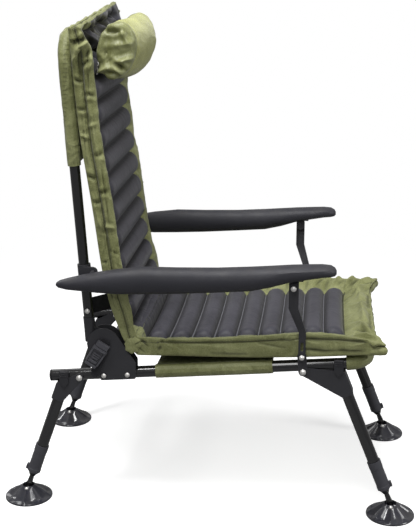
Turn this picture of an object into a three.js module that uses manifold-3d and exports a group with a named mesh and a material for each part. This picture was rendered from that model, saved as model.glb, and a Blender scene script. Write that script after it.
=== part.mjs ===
import * as THREE from "three";
import { mergeVertices } from "three/addons/utils/BufferGeometryUtils.js";
import Module from "manifold-3d";

// A reclining carp fishing chair with parallel-arm rests, folding telescopic legs and tilting mud feet.
// Millimetres. X runs across the chair, Y from its front (negative) to its back, Z up from the floor.

// Fits and facets
const seatGap = 0.3; // between two pieces that bear on each other
const overrun = 2; // how far a cut runs past what it cuts
const roundSides = 12;
const latheSides = 16;
const headSides = 12;
const smallSides = 8;
const broadSides = 24; // of a circle wider than a tube
const cornerSides = 8; // of a circle that only rounds a corner
const bendSteps = 4;

// Seat frame: one bent tube, open at the back, with a crossbar
const railSpacing = 420;
const railRadius = 12.5;
const railWall = 1.5;
const railHeight = 322; // of the rail's centre line at Y = 0
const railFallShare = 0.0847; // height lost for each unit of length to the rear
const railFrontY = -340;
const railRearY = 335;
const railBendRadius = 45;
const crossbarRadius = 10;
const crossbarY = 239;
const capFlange = 4;
const capPlugLength = 15;

// Legs: the foot pins stand on the corners of a rectangle
const footPinHeight = 26;
const legRadius = 12.5;
const legWall = 1.2;
const lowerLegWall = 1.3;
const lowerLegLength = 196;
const plugLength = 12;
const neckRadius = 6.5;
const neckHalfThickness = 4.5;
const neckLength = 28; // from the foot pin up to the plug's cone
const coneLength = 9;
const legTubeStart = 52; // from the foot pin up to the upper tube's lower end
const collarStart = 38;
const collarLength = 70;
const collarRadius = 14.8;
const collarChamfer = 2.6;
const collarGripDepth = 0.6;
const collarGripStart = 10;
const collarGripLength = 44;
const collarTabWidth = 9;
const collarTabLength = 11;
const collarTabDepth = 3.5; // from the collar's surface outwards
const gussetSheet = 2;
const gussetCorner = 4;
const gussetBoss = 9;
const pivotRivetRadius = 3.5;
const rivetHeadRadius = 6.5;
const rivetHead = 2.4;
const pinHoleGap = 0.45; // wide enough for the pin's corners to turn inside the hole's flats
const frontLeg = {
  out: -1,
  lean: 22,
  pivotY: -205,
  pivotDrop: 9, // below the rail's centre line
  pivotSetback: 67.71, // from the tube's axis, square to it
  topDrop: 33.62, // of the tube's top end below the pivot, along the tube
  gussetReach: 46, // down the leg from the tube's top end
};
const rearLeg = {
  out: 1,
  lean: 19.8,
  pivotY: 273,
  pivotDrop: 3,
  pivotSetback: 29.02,
  topDrop: 33.28,
  gussetReach: 32,
};

// Latch clip on each leg's gusset, in sizes along and across the rail
const clipSheet = 3.2;
const clipWidth = 25;
const clipTopWidth = 20;
const clipSetback = 62; // from the leg's pivot along the rail
const clipRearSetback = 21;
const clipTop = 14; // above the rail's centre line
const clipBottom = 24; // below it
const clipRidge = 1.2;
const clipRidgeHeight = 2;
const clipRidgePitch = 4.5;
const clipRidges = 3;
const clipStudRadius = 3;

// Mud feet
const footRadius = 52;
const footRim = 4.5;
const footRimWidth = 6;
const footCrownHeight = 18.5;
const footFlutes = 8;
const fluteSteps = 3;
const fluteDepth = 5;
const footShell = 3.2;
const footCrownShare = 0.24; // radius of the flat crown
const cheekThickness = 4.5;
const cheekRadius = 7;
const footPinRadius = 3.2;
const footPinOverhang = 1.5;

// Strut from rail to armrest, and the parallelogram that it closes
const hingeY = 218;
const hingeLift = 31; // of the arm's disc above the rail
const strutFootY = -202;
const strutFootDrop = 8; // below the recline hinge
const linkRise = 160; // from a lower pivot to the armrest pivot above it
const linkRun = 19;
const strutSheet = 2;
const strutDepth = 8;
const strutHalfWidth = 10;
const strutFootHalfWidth = 7.5;
const strutEnd = 9; // past each pivot
const strutStudRadius = 3.2;
const strutSlotWidth = 6;
const strutSlotLength = 20;
const strutSlotRise = 13;
const strutStationShares = [0, 0.36, 0.52, 0.68, 1]; // from the lower end to the upper
const strutShiftShares = [0, 0, 0.5, 1, 1]; // of the sideways joggle, at those stations
const strutBracketSheet = 2.5;
const strutBracketRadius = 9.5;

// Recline hinge
const hingeSheet = 2.5;
const hingeCapRadius = 36;
const hingeCorner = 4;
const hingeSkirtFrontY = 150;
const hingeSkirtRearY = 227;
const hingeSkirtRise = 25; // above the rail's centre line
const hingeSkirtDrop = 11;
const hingeRivetFrontY = 168;
const hingeRivetRearY = 219;
const hingeRivetRadius = 3;
const hingeRivetHeadRadius = 5;
const hingePinRadius = 5;
const hingePinHeadRadius = 8;
const hingePinHead = 2.2;
const armDiscRadius = 27;
const armDiscHalfThickness = 4;
const armNotches = 7;
const armNotchRadius = 2.6;
const armNotchSpread = 96; // degrees of the disc's rim that the notches cover
const armNotchStart = 200;
const socketWall = 1.2;
const socketRise = 3; // of its lower end above the hinge
const socketLength = 54;
const socketFloor = 14;

// Back frame: one bent tube in a leaning plane
const backSpacing = 420;
const backRadius = 11;
const backWall = 1.4;
const backTopHeight = 1016;
const backTubeY = 259; // of the tube's centre line at the height below
const backTubeHeight = 557;
const backLeanShare = 0.061;
const backBendRadius = 60;
const sleeveWall = 2.2;
const sleeveLength = 259; // down from the top of the back frame
const sleevePanel = 3;

// Armrests
const armrestOffset = 45; // of its middle outside the rail
const armrestFrontY = -268;
const armrestRearY = 307;
const armrestPivotRise = 37; // of its pivot above its lowest point
const armrestHeight = 75; // from its lowest point to its highest
const armrestWidth = 54;
const armrestRingSides = 14;
const armrestSquareness = 0.78; // 1 is an ellipse, smaller is squarer
// share of the length from the front, shares of the height for underside and top, share of the width
const armrestSectionShares = [
  [0, 0.78, 0.86, 0.3],
  [0.006, 0.735, 0.93, 0.62],
  [0.02, 0.71, 0.985, 0.84],
  [0.05, 0.69, 1, 0.94],
  [0.1, 0.62, 0.985, 1],
  [0.16, 0.53, 0.965, 1],
  [0.23, 0.36, 0.925, 1],
  [0.3, 0.235, 0.885, 0.98],
  [0.42, 0.165, 0.83, 0.94],
  [0.56, 0.09, 0.805, 0.88],
  [0.68, 0.045, 0.8, 0.84],
  [0.78, 0.02, 0.71, 0.8],
  [0.85, 0.04, 0.61, 0.78],
  [0.9, 0.07, 0.53, 0.76],
  [0.96, 0.11, 0.41, 0.68],
  [0.99, 0.155, 0.34, 0.5],
  [1, 0.2, 0.29, 0.3],
];
const lugWall = 3;
const lugHeight = 26;
const lugTongueRadius = 10;
const lugTongue = 5;
const lugStudRadius = 4;
const lugStudHead = 2.5;
const lugStudHeadRadius = 7;
const lugStudReach = 24; // into the armrest
const armrestBlockLength = 38;
const armrestBlockWidth = 27;
const armrestBlockHeight = 7;
const armrestBlockClearance = 0.6; // over the corners of the turning strut

// Webbing
const strapThickness = 1.6;
const lumbarStrapWidth = 36;
const lumbarStrapRise = 1.5; // of its lower edge above the sockets
const lumbarStrapRun = 150; // half the length of its straight middle
const lumbarRivetRadius = 2.6;
const lumbarRivetHeadRadius = 4.6;
const buckleStrapWidth = 20;
const buckleWidth = 32;
const buckleLength = 52;
const buckleThickness = 9;
const buckleCorner = 4;
const buckleSetback = 2; // of its top edge in front of the hinge
const buckleDrop = 1; // and below it
const strapFootSetback = 20; // behind the hinge
const strapFootLift = 4.2; // above the rail's centre line
const strapFootBlock = 12;
const strapTail = 13; // past the buckle's top edge

// Seat sling of sheet fabric, with pockets round the tubes
const slingSheet = 2;
const slingRise = 9.5; // of the panel's middle plane above the rail's centre line
const slingRearY = 108;
const slingPocketFrontY = -141;
const slingFrontPocketY = -296;
const slingNotchWidth = 34; // of the cut-out beside each front leg
const slingNotchMargin = 12;

// Seat cushion: a rim all round, and ribs sunk between its borders
const seatPadRearY = 146;
const seatPadFrontY = -372;
const seatPadOverhang = 14; // of its sides past the rails' centre lines
const seatPadCornerReach = 11; // of its corners past its sides
const seatPadRearLift = 44.4; // of its lower side seam above the rails' centre line
const seatPadFrontLift = 24.5;
const seatPadRearSide = 40;
const seatPadFrontSide = 26;
const seatPadSideSwell = 20; // that the side stands taller between its middle and its front
const seatPadFrontDrawIn = 25;
const seatPadRearDrawIn = 6;
const seatPadFrontBorder = 66;
const seatPadRearBorder = 9;
const seatPadSink = 27; // of the valleys between the ribs below the rim
const seatRibs = 9;
const seatRibHeight = 20;
// share of the half width: the side edge, the foot and the shoulder of a rib's end, the middle
const padColumnShares = [-1, -0.75, -0.68, 0, 0.68, 0.75, 1];

// Back cushion: its rear face runs along a curve of heights and depths
const backPadHingeRise = 7; // of its lower edge above the hinge
const backPadRise = 40; // above the top of the back frame
const backPadHingeSetback = 48; // of the rear face at its lowest point, in front of the hinge
const backPadSleeveGap = 1.5;
const backPadOverhang = 16; // of its sides past the back tubes' centre lines
const backPadCornerReach = 9;
const backPadSide = 32;
const backPadPinch = 18;
const backPadPinchReach = 60; // up from the lower edge and down from the upper one
const backPadRearBulge = 2;
const backPadTopDrawIn = 12;
const backPadBorder = 18;
const backPadSink = 19;
const backRibs = 12;
const backRibHeight = 20;
// share of the height, share of the depth
const backPadCurveShares = [
  [0, 0],
  [0.06, 0.19],
  [0.16, 0.4],
  [0.27, 0.51],
  [0.42, 0.63],
  [0.64, 0.85],
  [0.8, 0.94],
  [1, 1],
];

const ribRoundness = 0.7;
const ribSteps = 4;

// Headrest pillow
const pillowHalfLength = 150;
const pillowDrop = 68; // of its middle below the top of the back cushion
const pillowNestle = 0.2; // of its middle into the hollow between two ribs
const pillowHalfHeight = 65;
const pillowHalfDepth = 47;
const pillowTilt = 14;
const pillowEndShare = 0.78;
const pillowSides = 16;
const pillowStations = 10;
const pillowEndBulge = 5;

const wasm = await Module();
wasm.setup();

const railX = railSpacing / 2;
const backX = backSpacing / 2;
const cheekInside = railRadius + seatGap; // half the space between two sheets that straddle a rail
const gussetOutside = cheekInside + gussetSheet;
const bracketInside = gussetOutside + seatGap;
const bracketOutside = bracketInside + strutBracketSheet;
const hingeOutside = cheekInside + hingeSheet;

const point = (x, y, z) => new THREE.Vector3(x, y, z);
const degrees = THREE.MathUtils.degToRad;
const railZ = (y) => railHeight - y * railFallShare;
const backTubeAt = (z) => backTubeY + (z - backTubeHeight) * backLeanShare;

// Heights and places that follow from each other
const hingeHeight = railZ(hingeY) + railRadius + hingeLift + armDiscRadius;
const strutFootHeight = hingeHeight - strutFootDrop;
const strutTopY = strutFootY + linkRun;
const strutTopHeight = strutFootHeight + linkRise;
const armPivotY = hingeY + linkRun;
const armPivotHeight = hingeHeight + linkRise;
const armrestBaseHeight = armPivotHeight - armrestPivotRise;
const armrestBlockBottom =
  strutTopHeight + Math.hypot(strutHalfWidth, strutEnd) + armrestBlockClearance;
const armrestBlockTop = armrestBlockBottom + armrestBlockHeight;
const socketBottomHeight = hingeHeight + socketRise;
const socketTopHeight = socketBottomHeight + socketLength;
const sleeveBottomHeight = backTopHeight - sleeveLength;
const sleeveRadius = backRadius + seatGap + sleeveWall;
const lumbarStrapHeight = socketTopHeight + lumbarStrapRise + lumbarStrapWidth / 2;
const seatPadHalfWidth = railSpacing / 2 + seatPadOverhang;
const backPadHalfWidth = backSpacing / 2 + backPadOverhang;
const seatPadFrontHeight = railZ(seatPadFrontY) + seatPadFrontLift;
const seatPadRearHeight = railZ(seatPadRearY) + seatPadRearLift;
const backPadBottomHeight = hingeHeight + backPadHingeRise;
const backPadTopHeight = backTopHeight + backPadRise;
const backPadFrontY = hingeY - backPadHingeSetback;
const backPadRearY =
  backTubeAt(backTopHeight) - sleeveRadius - backPadSleeveGap - backPadRearBulge;
const backPadDepth = backPadRearY - backPadFrontY;
const pillowHeight = backPadTopHeight - pillowDrop;
const buckleTopY = hingeY - buckleSetback;
const buckleTopHeight = hingeHeight - buckleDrop;
const strapFootY = hingeY + strapFootSetback;
const strapFootHeight = railZ(strapFootY) + strapFootLift;

// Finishes
const finish = (color, roughness, metalness) =>
  new THREE.MeshStandardMaterial({ color, roughness, metalness });
const blackTube = finish(0x1c1c1e, 0.35, 0.4);
const blackSteel = finish(0x17171a, 0.5, 0.4);
const nickel = finish(0xc9c9cc, 0.25, 1);
const charcoalPlastic = finish(0x3b3b40, 0.6, 0);
const blackPlastic = finish(0x28282b, 0.45, 0);
const glossPlastic = finish(0x2c2d33, 0.22, 0);
const greyPlastic = finish(0x55545a, 0.55, 0);
const oliveFabric = finish(0x73784b, 0.9, 0);
const slateFabric = finish(0x4b4950, 0.75, 0);
const fleece = finish(0xb0b37a, 0.95, 0);
const webbing = finish(0x1d1d1f, 0.85, 0);

const chair = new THREE.Group();

function addPiece(name, geometry, material, group = chair) {
  const mesh = new THREE.Mesh(geometry, material);
  mesh.name = name;
  group.add(mesh);
}

// Solids and booleans
function toSolid(geometry) {
  const bare = geometry.clone();
  bare.deleteAttribute("normal");
  bare.deleteAttribute("uv");
  const merged = mergeVertices(bare);
  return new wasm.Manifold(
    new wasm.Mesh({
      numProp: 3,
      vertProperties: merged.attributes.position.array,
      triVerts: new Uint32Array(merged.index.array),
    }),
  );
}

function toGeometry(solid) {
  const mesh = solid.getMesh();
  const geometry = new THREE.BufferGeometry();
  geometry.setAttribute("position", new THREE.BufferAttribute(mesh.vertProperties, 3));
  geometry.setIndex(new THREE.BufferAttribute(mesh.triVerts, 1));
  geometry.computeVertexNormals();
  return geometry;
}

const join = (...geometries) =>
  toGeometry(geometries.map(toSolid).reduce((whole, piece) => whole.add(piece)));
const cut = (body, ...tools) =>
  toGeometry(tools.map(toSolid).reduce((rest, tool) => rest.subtract(tool), toSolid(body)));

// A path of straight runs and round bends, sampled only where it turns.
class BentPath extends THREE.Curve {
  constructor(corners, bendRadius) {
    super();
    this.stops = [];
    const heading = (i) => corners[i + 1].clone().sub(corners[i]).normalize();
    this.stops.push({ place: corners[0], heading: heading(0) });
    for (let i = 1; i < corners.length - 1; i++) {
      const before = heading(i - 1);
      const after = heading(i);
      const turn = before.angleTo(after);
      const inward = after.clone().addScaledVector(before, -after.dot(before)).normalize();
      const start = corners[i].clone().addScaledVector(before, -bendRadius * Math.tan(turn / 2));
      for (let k = 0; k <= bendSteps; k++) {
        const angle = (turn * k) / bendSteps;
        const place = start
          .clone()
          .addScaledVector(before, bendRadius * Math.sin(angle))
          .addScaledVector(inward, bendRadius * (1 - Math.cos(angle)));
        const direction = before
          .clone()
          .multiplyScalar(Math.cos(angle))
          .addScaledVector(inward, Math.sin(angle));
        this.stops.push({ place, heading: direction });
      }
    }
    this.stops.push({ place: corners[corners.length - 1], heading: heading(corners.length - 2) });
  }
  stopAt(t) {
    return this.stops[Math.round(t * (this.stops.length - 1))];
  }
  getPoint(t) {
    return this.stopAt(t).place.clone();
  }
  getPointAt(t) {
    return this.getPoint(t);
  }
  getTangentAt(t) {
    return this.stopAt(t).heading.clone();
  }
}

function circleShape(radius, hole = 0) {
  const shape = new THREE.Shape().absarc(0, 0, radius, 0, 2 * Math.PI, false);
  if (hole > 0) shape.holes.push(new THREE.Path().absarc(0, 0, hole, 0, 2 * Math.PI, true));
  return shape;
}

// A tube or rod along a path; a wall of zero makes it solid.
function tubeAlong(path, radius, wall = 0, sides = roundSides) {
  const hole = wall > 0 ? radius - wall : 0;
  return new THREE.ExtrudeGeometry(circleShape(radius, hole), {
    steps: path.stops.length - 1,
    curveSegments: sides / 2,
    extrudePath: path,
  });
}

const straightTube = (from, to, radius, wall = 0, sides = roundSides) =>
  tubeAlong(new BentPath([from, to], 0), radius, wall, sides);

// A rod across the chair, at (y, z), between two places on X.
const crossRod = (y, z, from, to, radius, sides = smallSides) =>
  straightTube(point(from, y, z), point(to, y, z), radius, 0, sides);

const arcPlaces = (sides) =>
  Array.from({ length: sides }, (_, i) => {
    const angle = (2 * Math.PI * i) / sides;
    return [Math.cos(angle), Math.sin(angle)];
  });

function outlineSides(radius) {
  if (radius > collarRadius) return broadSides;
  return radius > gussetCorner ? roundSides : cornerSides;
}

// The convex outline round circles given as [y, z, radius].
function roundedOutline(circles) {
  const dots = circles.flatMap(([y, z, radius]) =>
    arcPlaces(outlineSides(radius)).map(([c, s]) => [
      y + radius * c,
      z + radius * s,
    ]),
  );
  dots.sort((a, b) => a[0] - b[0] || a[1] - b[1]);
  const turn = (o, a, b) => (a[0] - o[0]) * (b[1] - o[1]) - (a[1] - o[1]) * (b[0] - o[0]);
  const half = (list) => {
    const chain = [];
    for (const dot of list) {
      while (chain.length > 1 && turn(chain[chain.length - 2], chain[chain.length - 1], dot) <= 0) {
        chain.pop();
      }
      chain.push(dot);
    }
    return chain.slice(0, -1);
  };
  return [...half(dots), ...half(dots.reverse())];
}

// A plate in the Y-Z plane, between two places on X.
function plate(outline, from, to) {
  const shape = new THREE.Shape(outline.map(([y, z]) => new THREE.Vector2(y, z)));
  const geometry = new THREE.ExtrudeGeometry(shape, { depth: to - from, bevelEnabled: false });
  geometry.applyMatrix4(
    new THREE.Matrix4().makeBasis(point(0, 1, 0), point(0, 0, 1), point(1, 0, 0)),
  );
  return geometry.translate(from, 0, 0);
}

const roundedPlate = (circles, from, to) => plate(roundedOutline(circles), from, to);

function box(x0, x1, y0, y1, z0, z1) {
  const geometry = new THREE.BoxGeometry(x1 - x0, y1 - y0, z1 - z0);
  return geometry.translate((x0 + x1) / 2, (y0 + y1) / 2, (z0 + z1) / 2);
}

// A body through rings of equal length; each end is a flat cap of the ring's outline.
function loft(rings, outline) {
  const places = rings.flat().flatMap((p) => [p.x, p.y, p.z]);
  const count = outline.length;
  const faces = [];
  for (let r = 0; r + 1 < rings.length; r++) {
    for (let i = 0; i < count; i++) {
      const next = (i + 1) % count;
      const [a, b] = [r * count + i, r * count + next];
      faces.push(a, b, b + count, a, b + count, a + count);
    }
  }
  const last = (rings.length - 1) * count;
  for (const [a, b, c] of THREE.ShapeUtils.triangulateShape(outline, [])) {
    faces.push(c, b, a, last + a, last + b, last + c);
  }
  const geometry = new THREE.BufferGeometry();
  geometry.setAttribute("position", new THREE.Float32BufferAttribute(places, 3));
  geometry.setIndex(faces);
  geometry.computeVertexNormals();
  return geometry;
}

// A closed pad on a grid: place(row share, column share, side) gives its points, side 1 on top.
function padGeometry(rowShares, columnShares, place) {
  const rows = rowShares.length;
  const columns = columnShares.length;
  const places = [];
  for (const side of [1, -1]) {
    for (const s of rowShares) {
      for (const t of columnShares) places.push(...place(s, t, side).toArray());
    }
  }
  const at = (r, c, side) => (side > 0 ? 0 : rows * columns) + r * columns + c;
  const faces = [];
  const quad = (a, b, c, d) => faces.push(a, b, c, a, c, d);
  for (let r = 0; r + 1 < rows; r++) {
    for (let c = 0; c + 1 < columns; c++) {
      quad(at(r, c, 1), at(r, c + 1, 1), at(r + 1, c + 1, 1), at(r + 1, c, 1));
      quad(at(r, c, -1), at(r + 1, c, -1), at(r + 1, c + 1, -1), at(r, c + 1, -1));
    }
    quad(at(r, 0, 1), at(r + 1, 0, 1), at(r + 1, 0, -1), at(r, 0, -1));
    const edge = columns - 1;
    quad(at(r, edge, -1), at(r + 1, edge, -1), at(r + 1, edge, 1), at(r, edge, 1));
  }
  for (let c = 0; c + 1 < columns; c++) {
    const edge = rows - 1;
    quad(at(0, c, -1), at(0, c + 1, -1), at(0, c + 1, 1), at(0, c, 1));
    quad(at(edge, c, 1), at(edge, c + 1, 1), at(edge, c + 1, -1), at(edge, c, -1));
  }
  const geometry = new THREE.BufferGeometry();
  geometry.setAttribute("position", new THREE.Float32BufferAttribute(places, 3));
  geometry.setIndex(faces);
  geometry.computeVertexNormals();
  return geometry;
}

// Seat frame
const seatCorner = (x, y) => point(x, y, railZ(y));
const seatPath = new BentPath(
  [
    seatCorner(-railX, railRearY),
    seatCorner(-railX, railFrontY),
    seatCorner(railX, railFrontY),
    seatCorner(railX, railRearY),
  ],
  railBendRadius,
);
const legPivotZ = (leg) => railZ(leg.pivotY) - leg.pivotDrop;

function seatFrame() {
  const bar = (reach, radius) =>
    straightTube(seatCorner(-reach, crossbarY), seatCorner(reach, crossbarY), radius, 0, headSides);
  const longer = new BentPath(
    [
      seatCorner(-railX, railRearY + overrun),
      seatCorner(-railX, railFrontY),
      seatCorner(railX, railFrontY),
      seatCorner(railX, railRearY + overrun),
    ],
    railBendRadius,
  );
  const frame = cut(
    join(tubeAlong(seatPath, railRadius), bar(railX, crossbarRadius)),
    tubeAlong(longer, railRadius - railWall),
    bar(railX, crossbarRadius - railWall),
  );
  const hole = (x, y, z, radius) =>
    crossRod(y, z, x - railRadius - overrun, x + railRadius + overrun, radius + pinHoleGap);
  const holes = [-railX, railX].flatMap((x) => [
    hole(x, frontLeg.pivotY, legPivotZ(frontLeg), pivotRivetRadius),
    hole(x, rearLeg.pivotY, legPivotZ(rearLeg), pivotRivetRadius),
    hole(x, hingeRivetFrontY, railZ(hingeRivetFrontY), hingeRivetRadius),
    hole(x, hingeRivetRearY, railZ(hingeRivetRearY), hingeRivetRadius),
  ]);
  return cut(frame, ...holes);
}

// Where a piece slides or turns inside a side group, X is measured from that side's rail.
function railCap() {
  const start = railRearY + seatGap;
  const plugRadius = railRadius - railWall - seatGap;
  const flange = straightTube(
    point(0, start, railZ(start)),
    point(0, start + capFlange, railZ(start + capFlange)),
    railRadius,
  );
  const plug = straightTube(
    point(0, start - capPlugLength, railZ(start - capPlugLength)),
    point(0, start + capFlange / 2, railZ(start + capFlange / 2)),
    plugRadius,
  );
  return join(flange, plug);
}

// Legs
const legUp = (leg) => [-leg.out * Math.sin(degrees(leg.lean)), Math.cos(degrees(leg.lean))];

// How far out the foot stands, so that the leg meets its pivot
function footPinY(leg) {
  const rise = legPivotZ(leg) - footPinHeight;
  const lean = degrees(leg.lean);
  return leg.out * leg.pivotY + rise * Math.tan(lean) + leg.pivotSetback / Math.cos(lean);
}

// The place (y, z) on a leg: along it from the foot pin, and across it towards its outer side.
function legPlace(leg, along, across = 0) {
  const [upY, upZ] = legUp(leg);
  return [
    leg.out * footPinY(leg) + along * upY + across * leg.out * upZ,
    footPinHeight + along * upZ - across * leg.out * upY,
  ];
}

const legPoint = (leg, along) => point(0, ...legPlace(leg, along));

// How far along the leg its upper tube ends
function legTop(leg) {
  const run = footPinY(leg) - leg.out * leg.pivotY;
  const rise = legPivotZ(leg) - footPinHeight;
  const lean = degrees(leg.lean);
  return run * Math.sin(lean) + rise * Math.cos(lean) - leg.topDrop;
}

const upperLeg = (leg) =>
  straightTube(
    legPoint(leg, legTubeStart),
    legPoint(leg, legTop(leg)),
    legRadius,
    legWall,
    latheSides,
  );

function legGusset(leg) {
  const top = legTop(leg);
  const web = cheekInside + gussetSheet;
  const bottom = top - leg.gussetReach;
  const rounds = [
    [leg.pivotY, legPivotZ(leg), gussetBoss],
    [...legPlace(leg, bottom, web - gussetCorner), gussetCorner],
    [...legPlace(leg, bottom, -legRadius + gussetCorner), gussetCorner],
    [...legPlace(leg, top, web - gussetCorner), gussetCorner],
  ];
  const sheet = roundedPlate(rounds, -gussetOutside, gussetOutside);
  const far = railSpacing;
  const behindWeb = plate(
    [
      legPlace(leg, -far, cheekInside),
      legPlace(leg, far * 2, cheekInside),
      legPlace(leg, far * 2, -far),
      legPlace(leg, -far, -far),
    ],
    -cheekInside,
    cheekInside,
  );
  const underside = -(railRadius + seatGap);
  const aboveRail = plate(
    [
      [-far, railZ(-far) + underside],
      [far, railZ(far) + underside],
      [far, railZ(far) + far],
      [-far, railZ(-far) + far],
    ],
    -cheekInside,
    cheekInside,
  );
  const pivotHole = crossRod(
    leg.pivotY,
    legPivotZ(leg),
    -gussetOutside - overrun,
    gussetOutside + overrun,
    pivotRivetRadius + pinHoleGap,
  );
  const studHole = crossRod(
    ...clipStudPlace(leg),
    cheekInside - overrun,
    gussetOutside + overrun,
    clipStudRadius + pinHoleGap,
  );
  return cut(sheet, behindWeb, aboveRail, pivotHole, studHole);
}

function legRivet(leg) {
  const outside = leg.out < 0 ? bracketOutside : gussetOutside;
  const headStart = outside + seatGap;
  const headEnd = gussetOutside + seatGap;
  const [y, z] = [leg.pivotY, legPivotZ(leg)];
  return join(
    crossRod(y, z, -headEnd - rivetHead / 2, headStart + rivetHead / 2, pivotRivetRadius),
    crossRod(y, z, headStart, headStart + rivetHead, rivetHeadRadius, headSides),
    crossRod(y, z, -headEnd - rivetHead, -headEnd, rivetHeadRadius, headSides),
  );
}

// The latch clip stands on the gusset's outer face and reaches up beside the rail.
const clipY = (leg) =>
  leg.pivotY + leg.out * (leg.out < 0 ? clipSetback : clipRearSetback);
const clipStudPlace = (leg) => {
  const y = clipY(leg) + (leg.out * clipWidth) / 2;
  return [y, railZ(y) - railRadius - clipStudRadius - seatGap];
};

function legClip(leg) {
  const inner = clipY(leg);
  const outer = inner + leg.out * clipWidth;
  const middle = (inner + outer) / 2;
  const corner = gussetCorner / 2;
  const topHalf = clipTopWidth / 2 - corner;
  const start = gussetOutside + seatGap;
  const end = start + clipSheet;
  const topZ = railZ(middle) + clipTop - corner;
  const body = roundedPlate(
    [
      [middle - topHalf, topZ, corner],
      [middle + topHalf, topZ, corner],
      [middle - leg.out * topHalf, railZ(middle) - clipBottom / 2, corner],
      [middle + leg.out * topHalf, railZ(middle) - clipBottom / 2, corner],
      [middle, railZ(middle) - clipBottom + corner, corner],
    ],
    start,
    end,
  );
  const ridges = Array.from({ length: clipRidges }, (_, i) => {
    const z = topZ - i * clipRidgePitch;
    return box(
      end - clipRidge,
      end + clipRidge,
      middle - topHalf,
      middle + topHalf,
      z - clipRidgeHeight,
      z,
    );
  });
  const stud = crossRod(...clipStudPlace(leg), cheekInside, end - clipSheet / 2, clipStudRadius);
  return join(body, ...ridges, stud);
}

// A lathed piece stands on the leg's own line, its profile given as [radius, distance up the leg].
function onLeg(leg, geometry) {
  geometry.rotateX(Math.PI / 2);
  geometry.rotateX(degrees(leg.lean) * leg.out);
  return geometry.translate(0, leg.out * footPinY(leg), footPinHeight);
}

function lathe(profile) {
  const outline = profile.map(([radius, along]) => new THREE.Vector2(radius, along));
  return new THREE.LatheGeometry([...outline, outline[0].clone()], latheSides);
}

function lockCollar(leg) {
  const start = collarStart;
  const end = start + collarLength;
  const gripStart = start + collarGripStart;
  const gripEnd = gripStart + collarGripLength;
  const upperBore = legRadius + seatGap;
  const lowerBore = lowerLegRadius + seatGap;
  const ledge = legTubeStart - seatGap;
  const reach = collarTabDepth + collarRadius - upperBore;
  const tab = new THREE.BoxGeometry(collarTabWidth, collarTabLength, reach);
  tab.translate(
    0,
    start + collarChamfer + collarTabLength / 2,
    -leg.out * (upperBore + reach / 2 + seatGap),
  );
  return onLeg(
    leg,
    join(tab, lathe([
      [lowerBore, start],
      [collarRadius - collarChamfer, start],
      [collarRadius, start + collarChamfer],
      [collarRadius, gripStart],
      [collarRadius - collarGripDepth, gripStart + collarGripDepth],
      [collarRadius - collarGripDepth, gripEnd - collarGripDepth],
      [collarRadius, gripEnd],
      [collarRadius, end],
      [upperBore, end],
      [upperBore, ledge],
      [lowerBore, ledge],
    ])),
  );
}

const lowerLegRadius = legRadius - legWall - seatGap;

function lowerLeg(leg) {
  const plugStart = neckLength + coneLength;
  const plugEnd = plugStart + plugLength;
  const tubeEnd = plugStart + lowerLegLength;
  const bore = lowerLegRadius - lowerLegWall;
  const tube = onLeg(
    leg,
    lathe([
      [0, neckLength],
      [neckRadius, neckLength],
      [lowerLegRadius, plugStart],
      [lowerLegRadius, tubeEnd],
      [bore, tubeEnd],
      [bore, plugEnd],
      [0, plugEnd],
    ]),
  );
  const neck = roundedPlate(
    [
      [...legPlace(leg, 0), neckRadius],
      [...legPlace(leg, neckLength), neckRadius - overrun],
    ],
    -neckHalfThickness,
    neckHalfThickness,
  );
  const pinReach = neckHalfThickness + seatGap + cheekThickness + footPinOverhang;
  const pin = crossRod(leg.out * footPinY(leg), footPinHeight, -pinReach, pinReach, footPinRadius);
  return join(tube, neck, pin);
}

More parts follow.
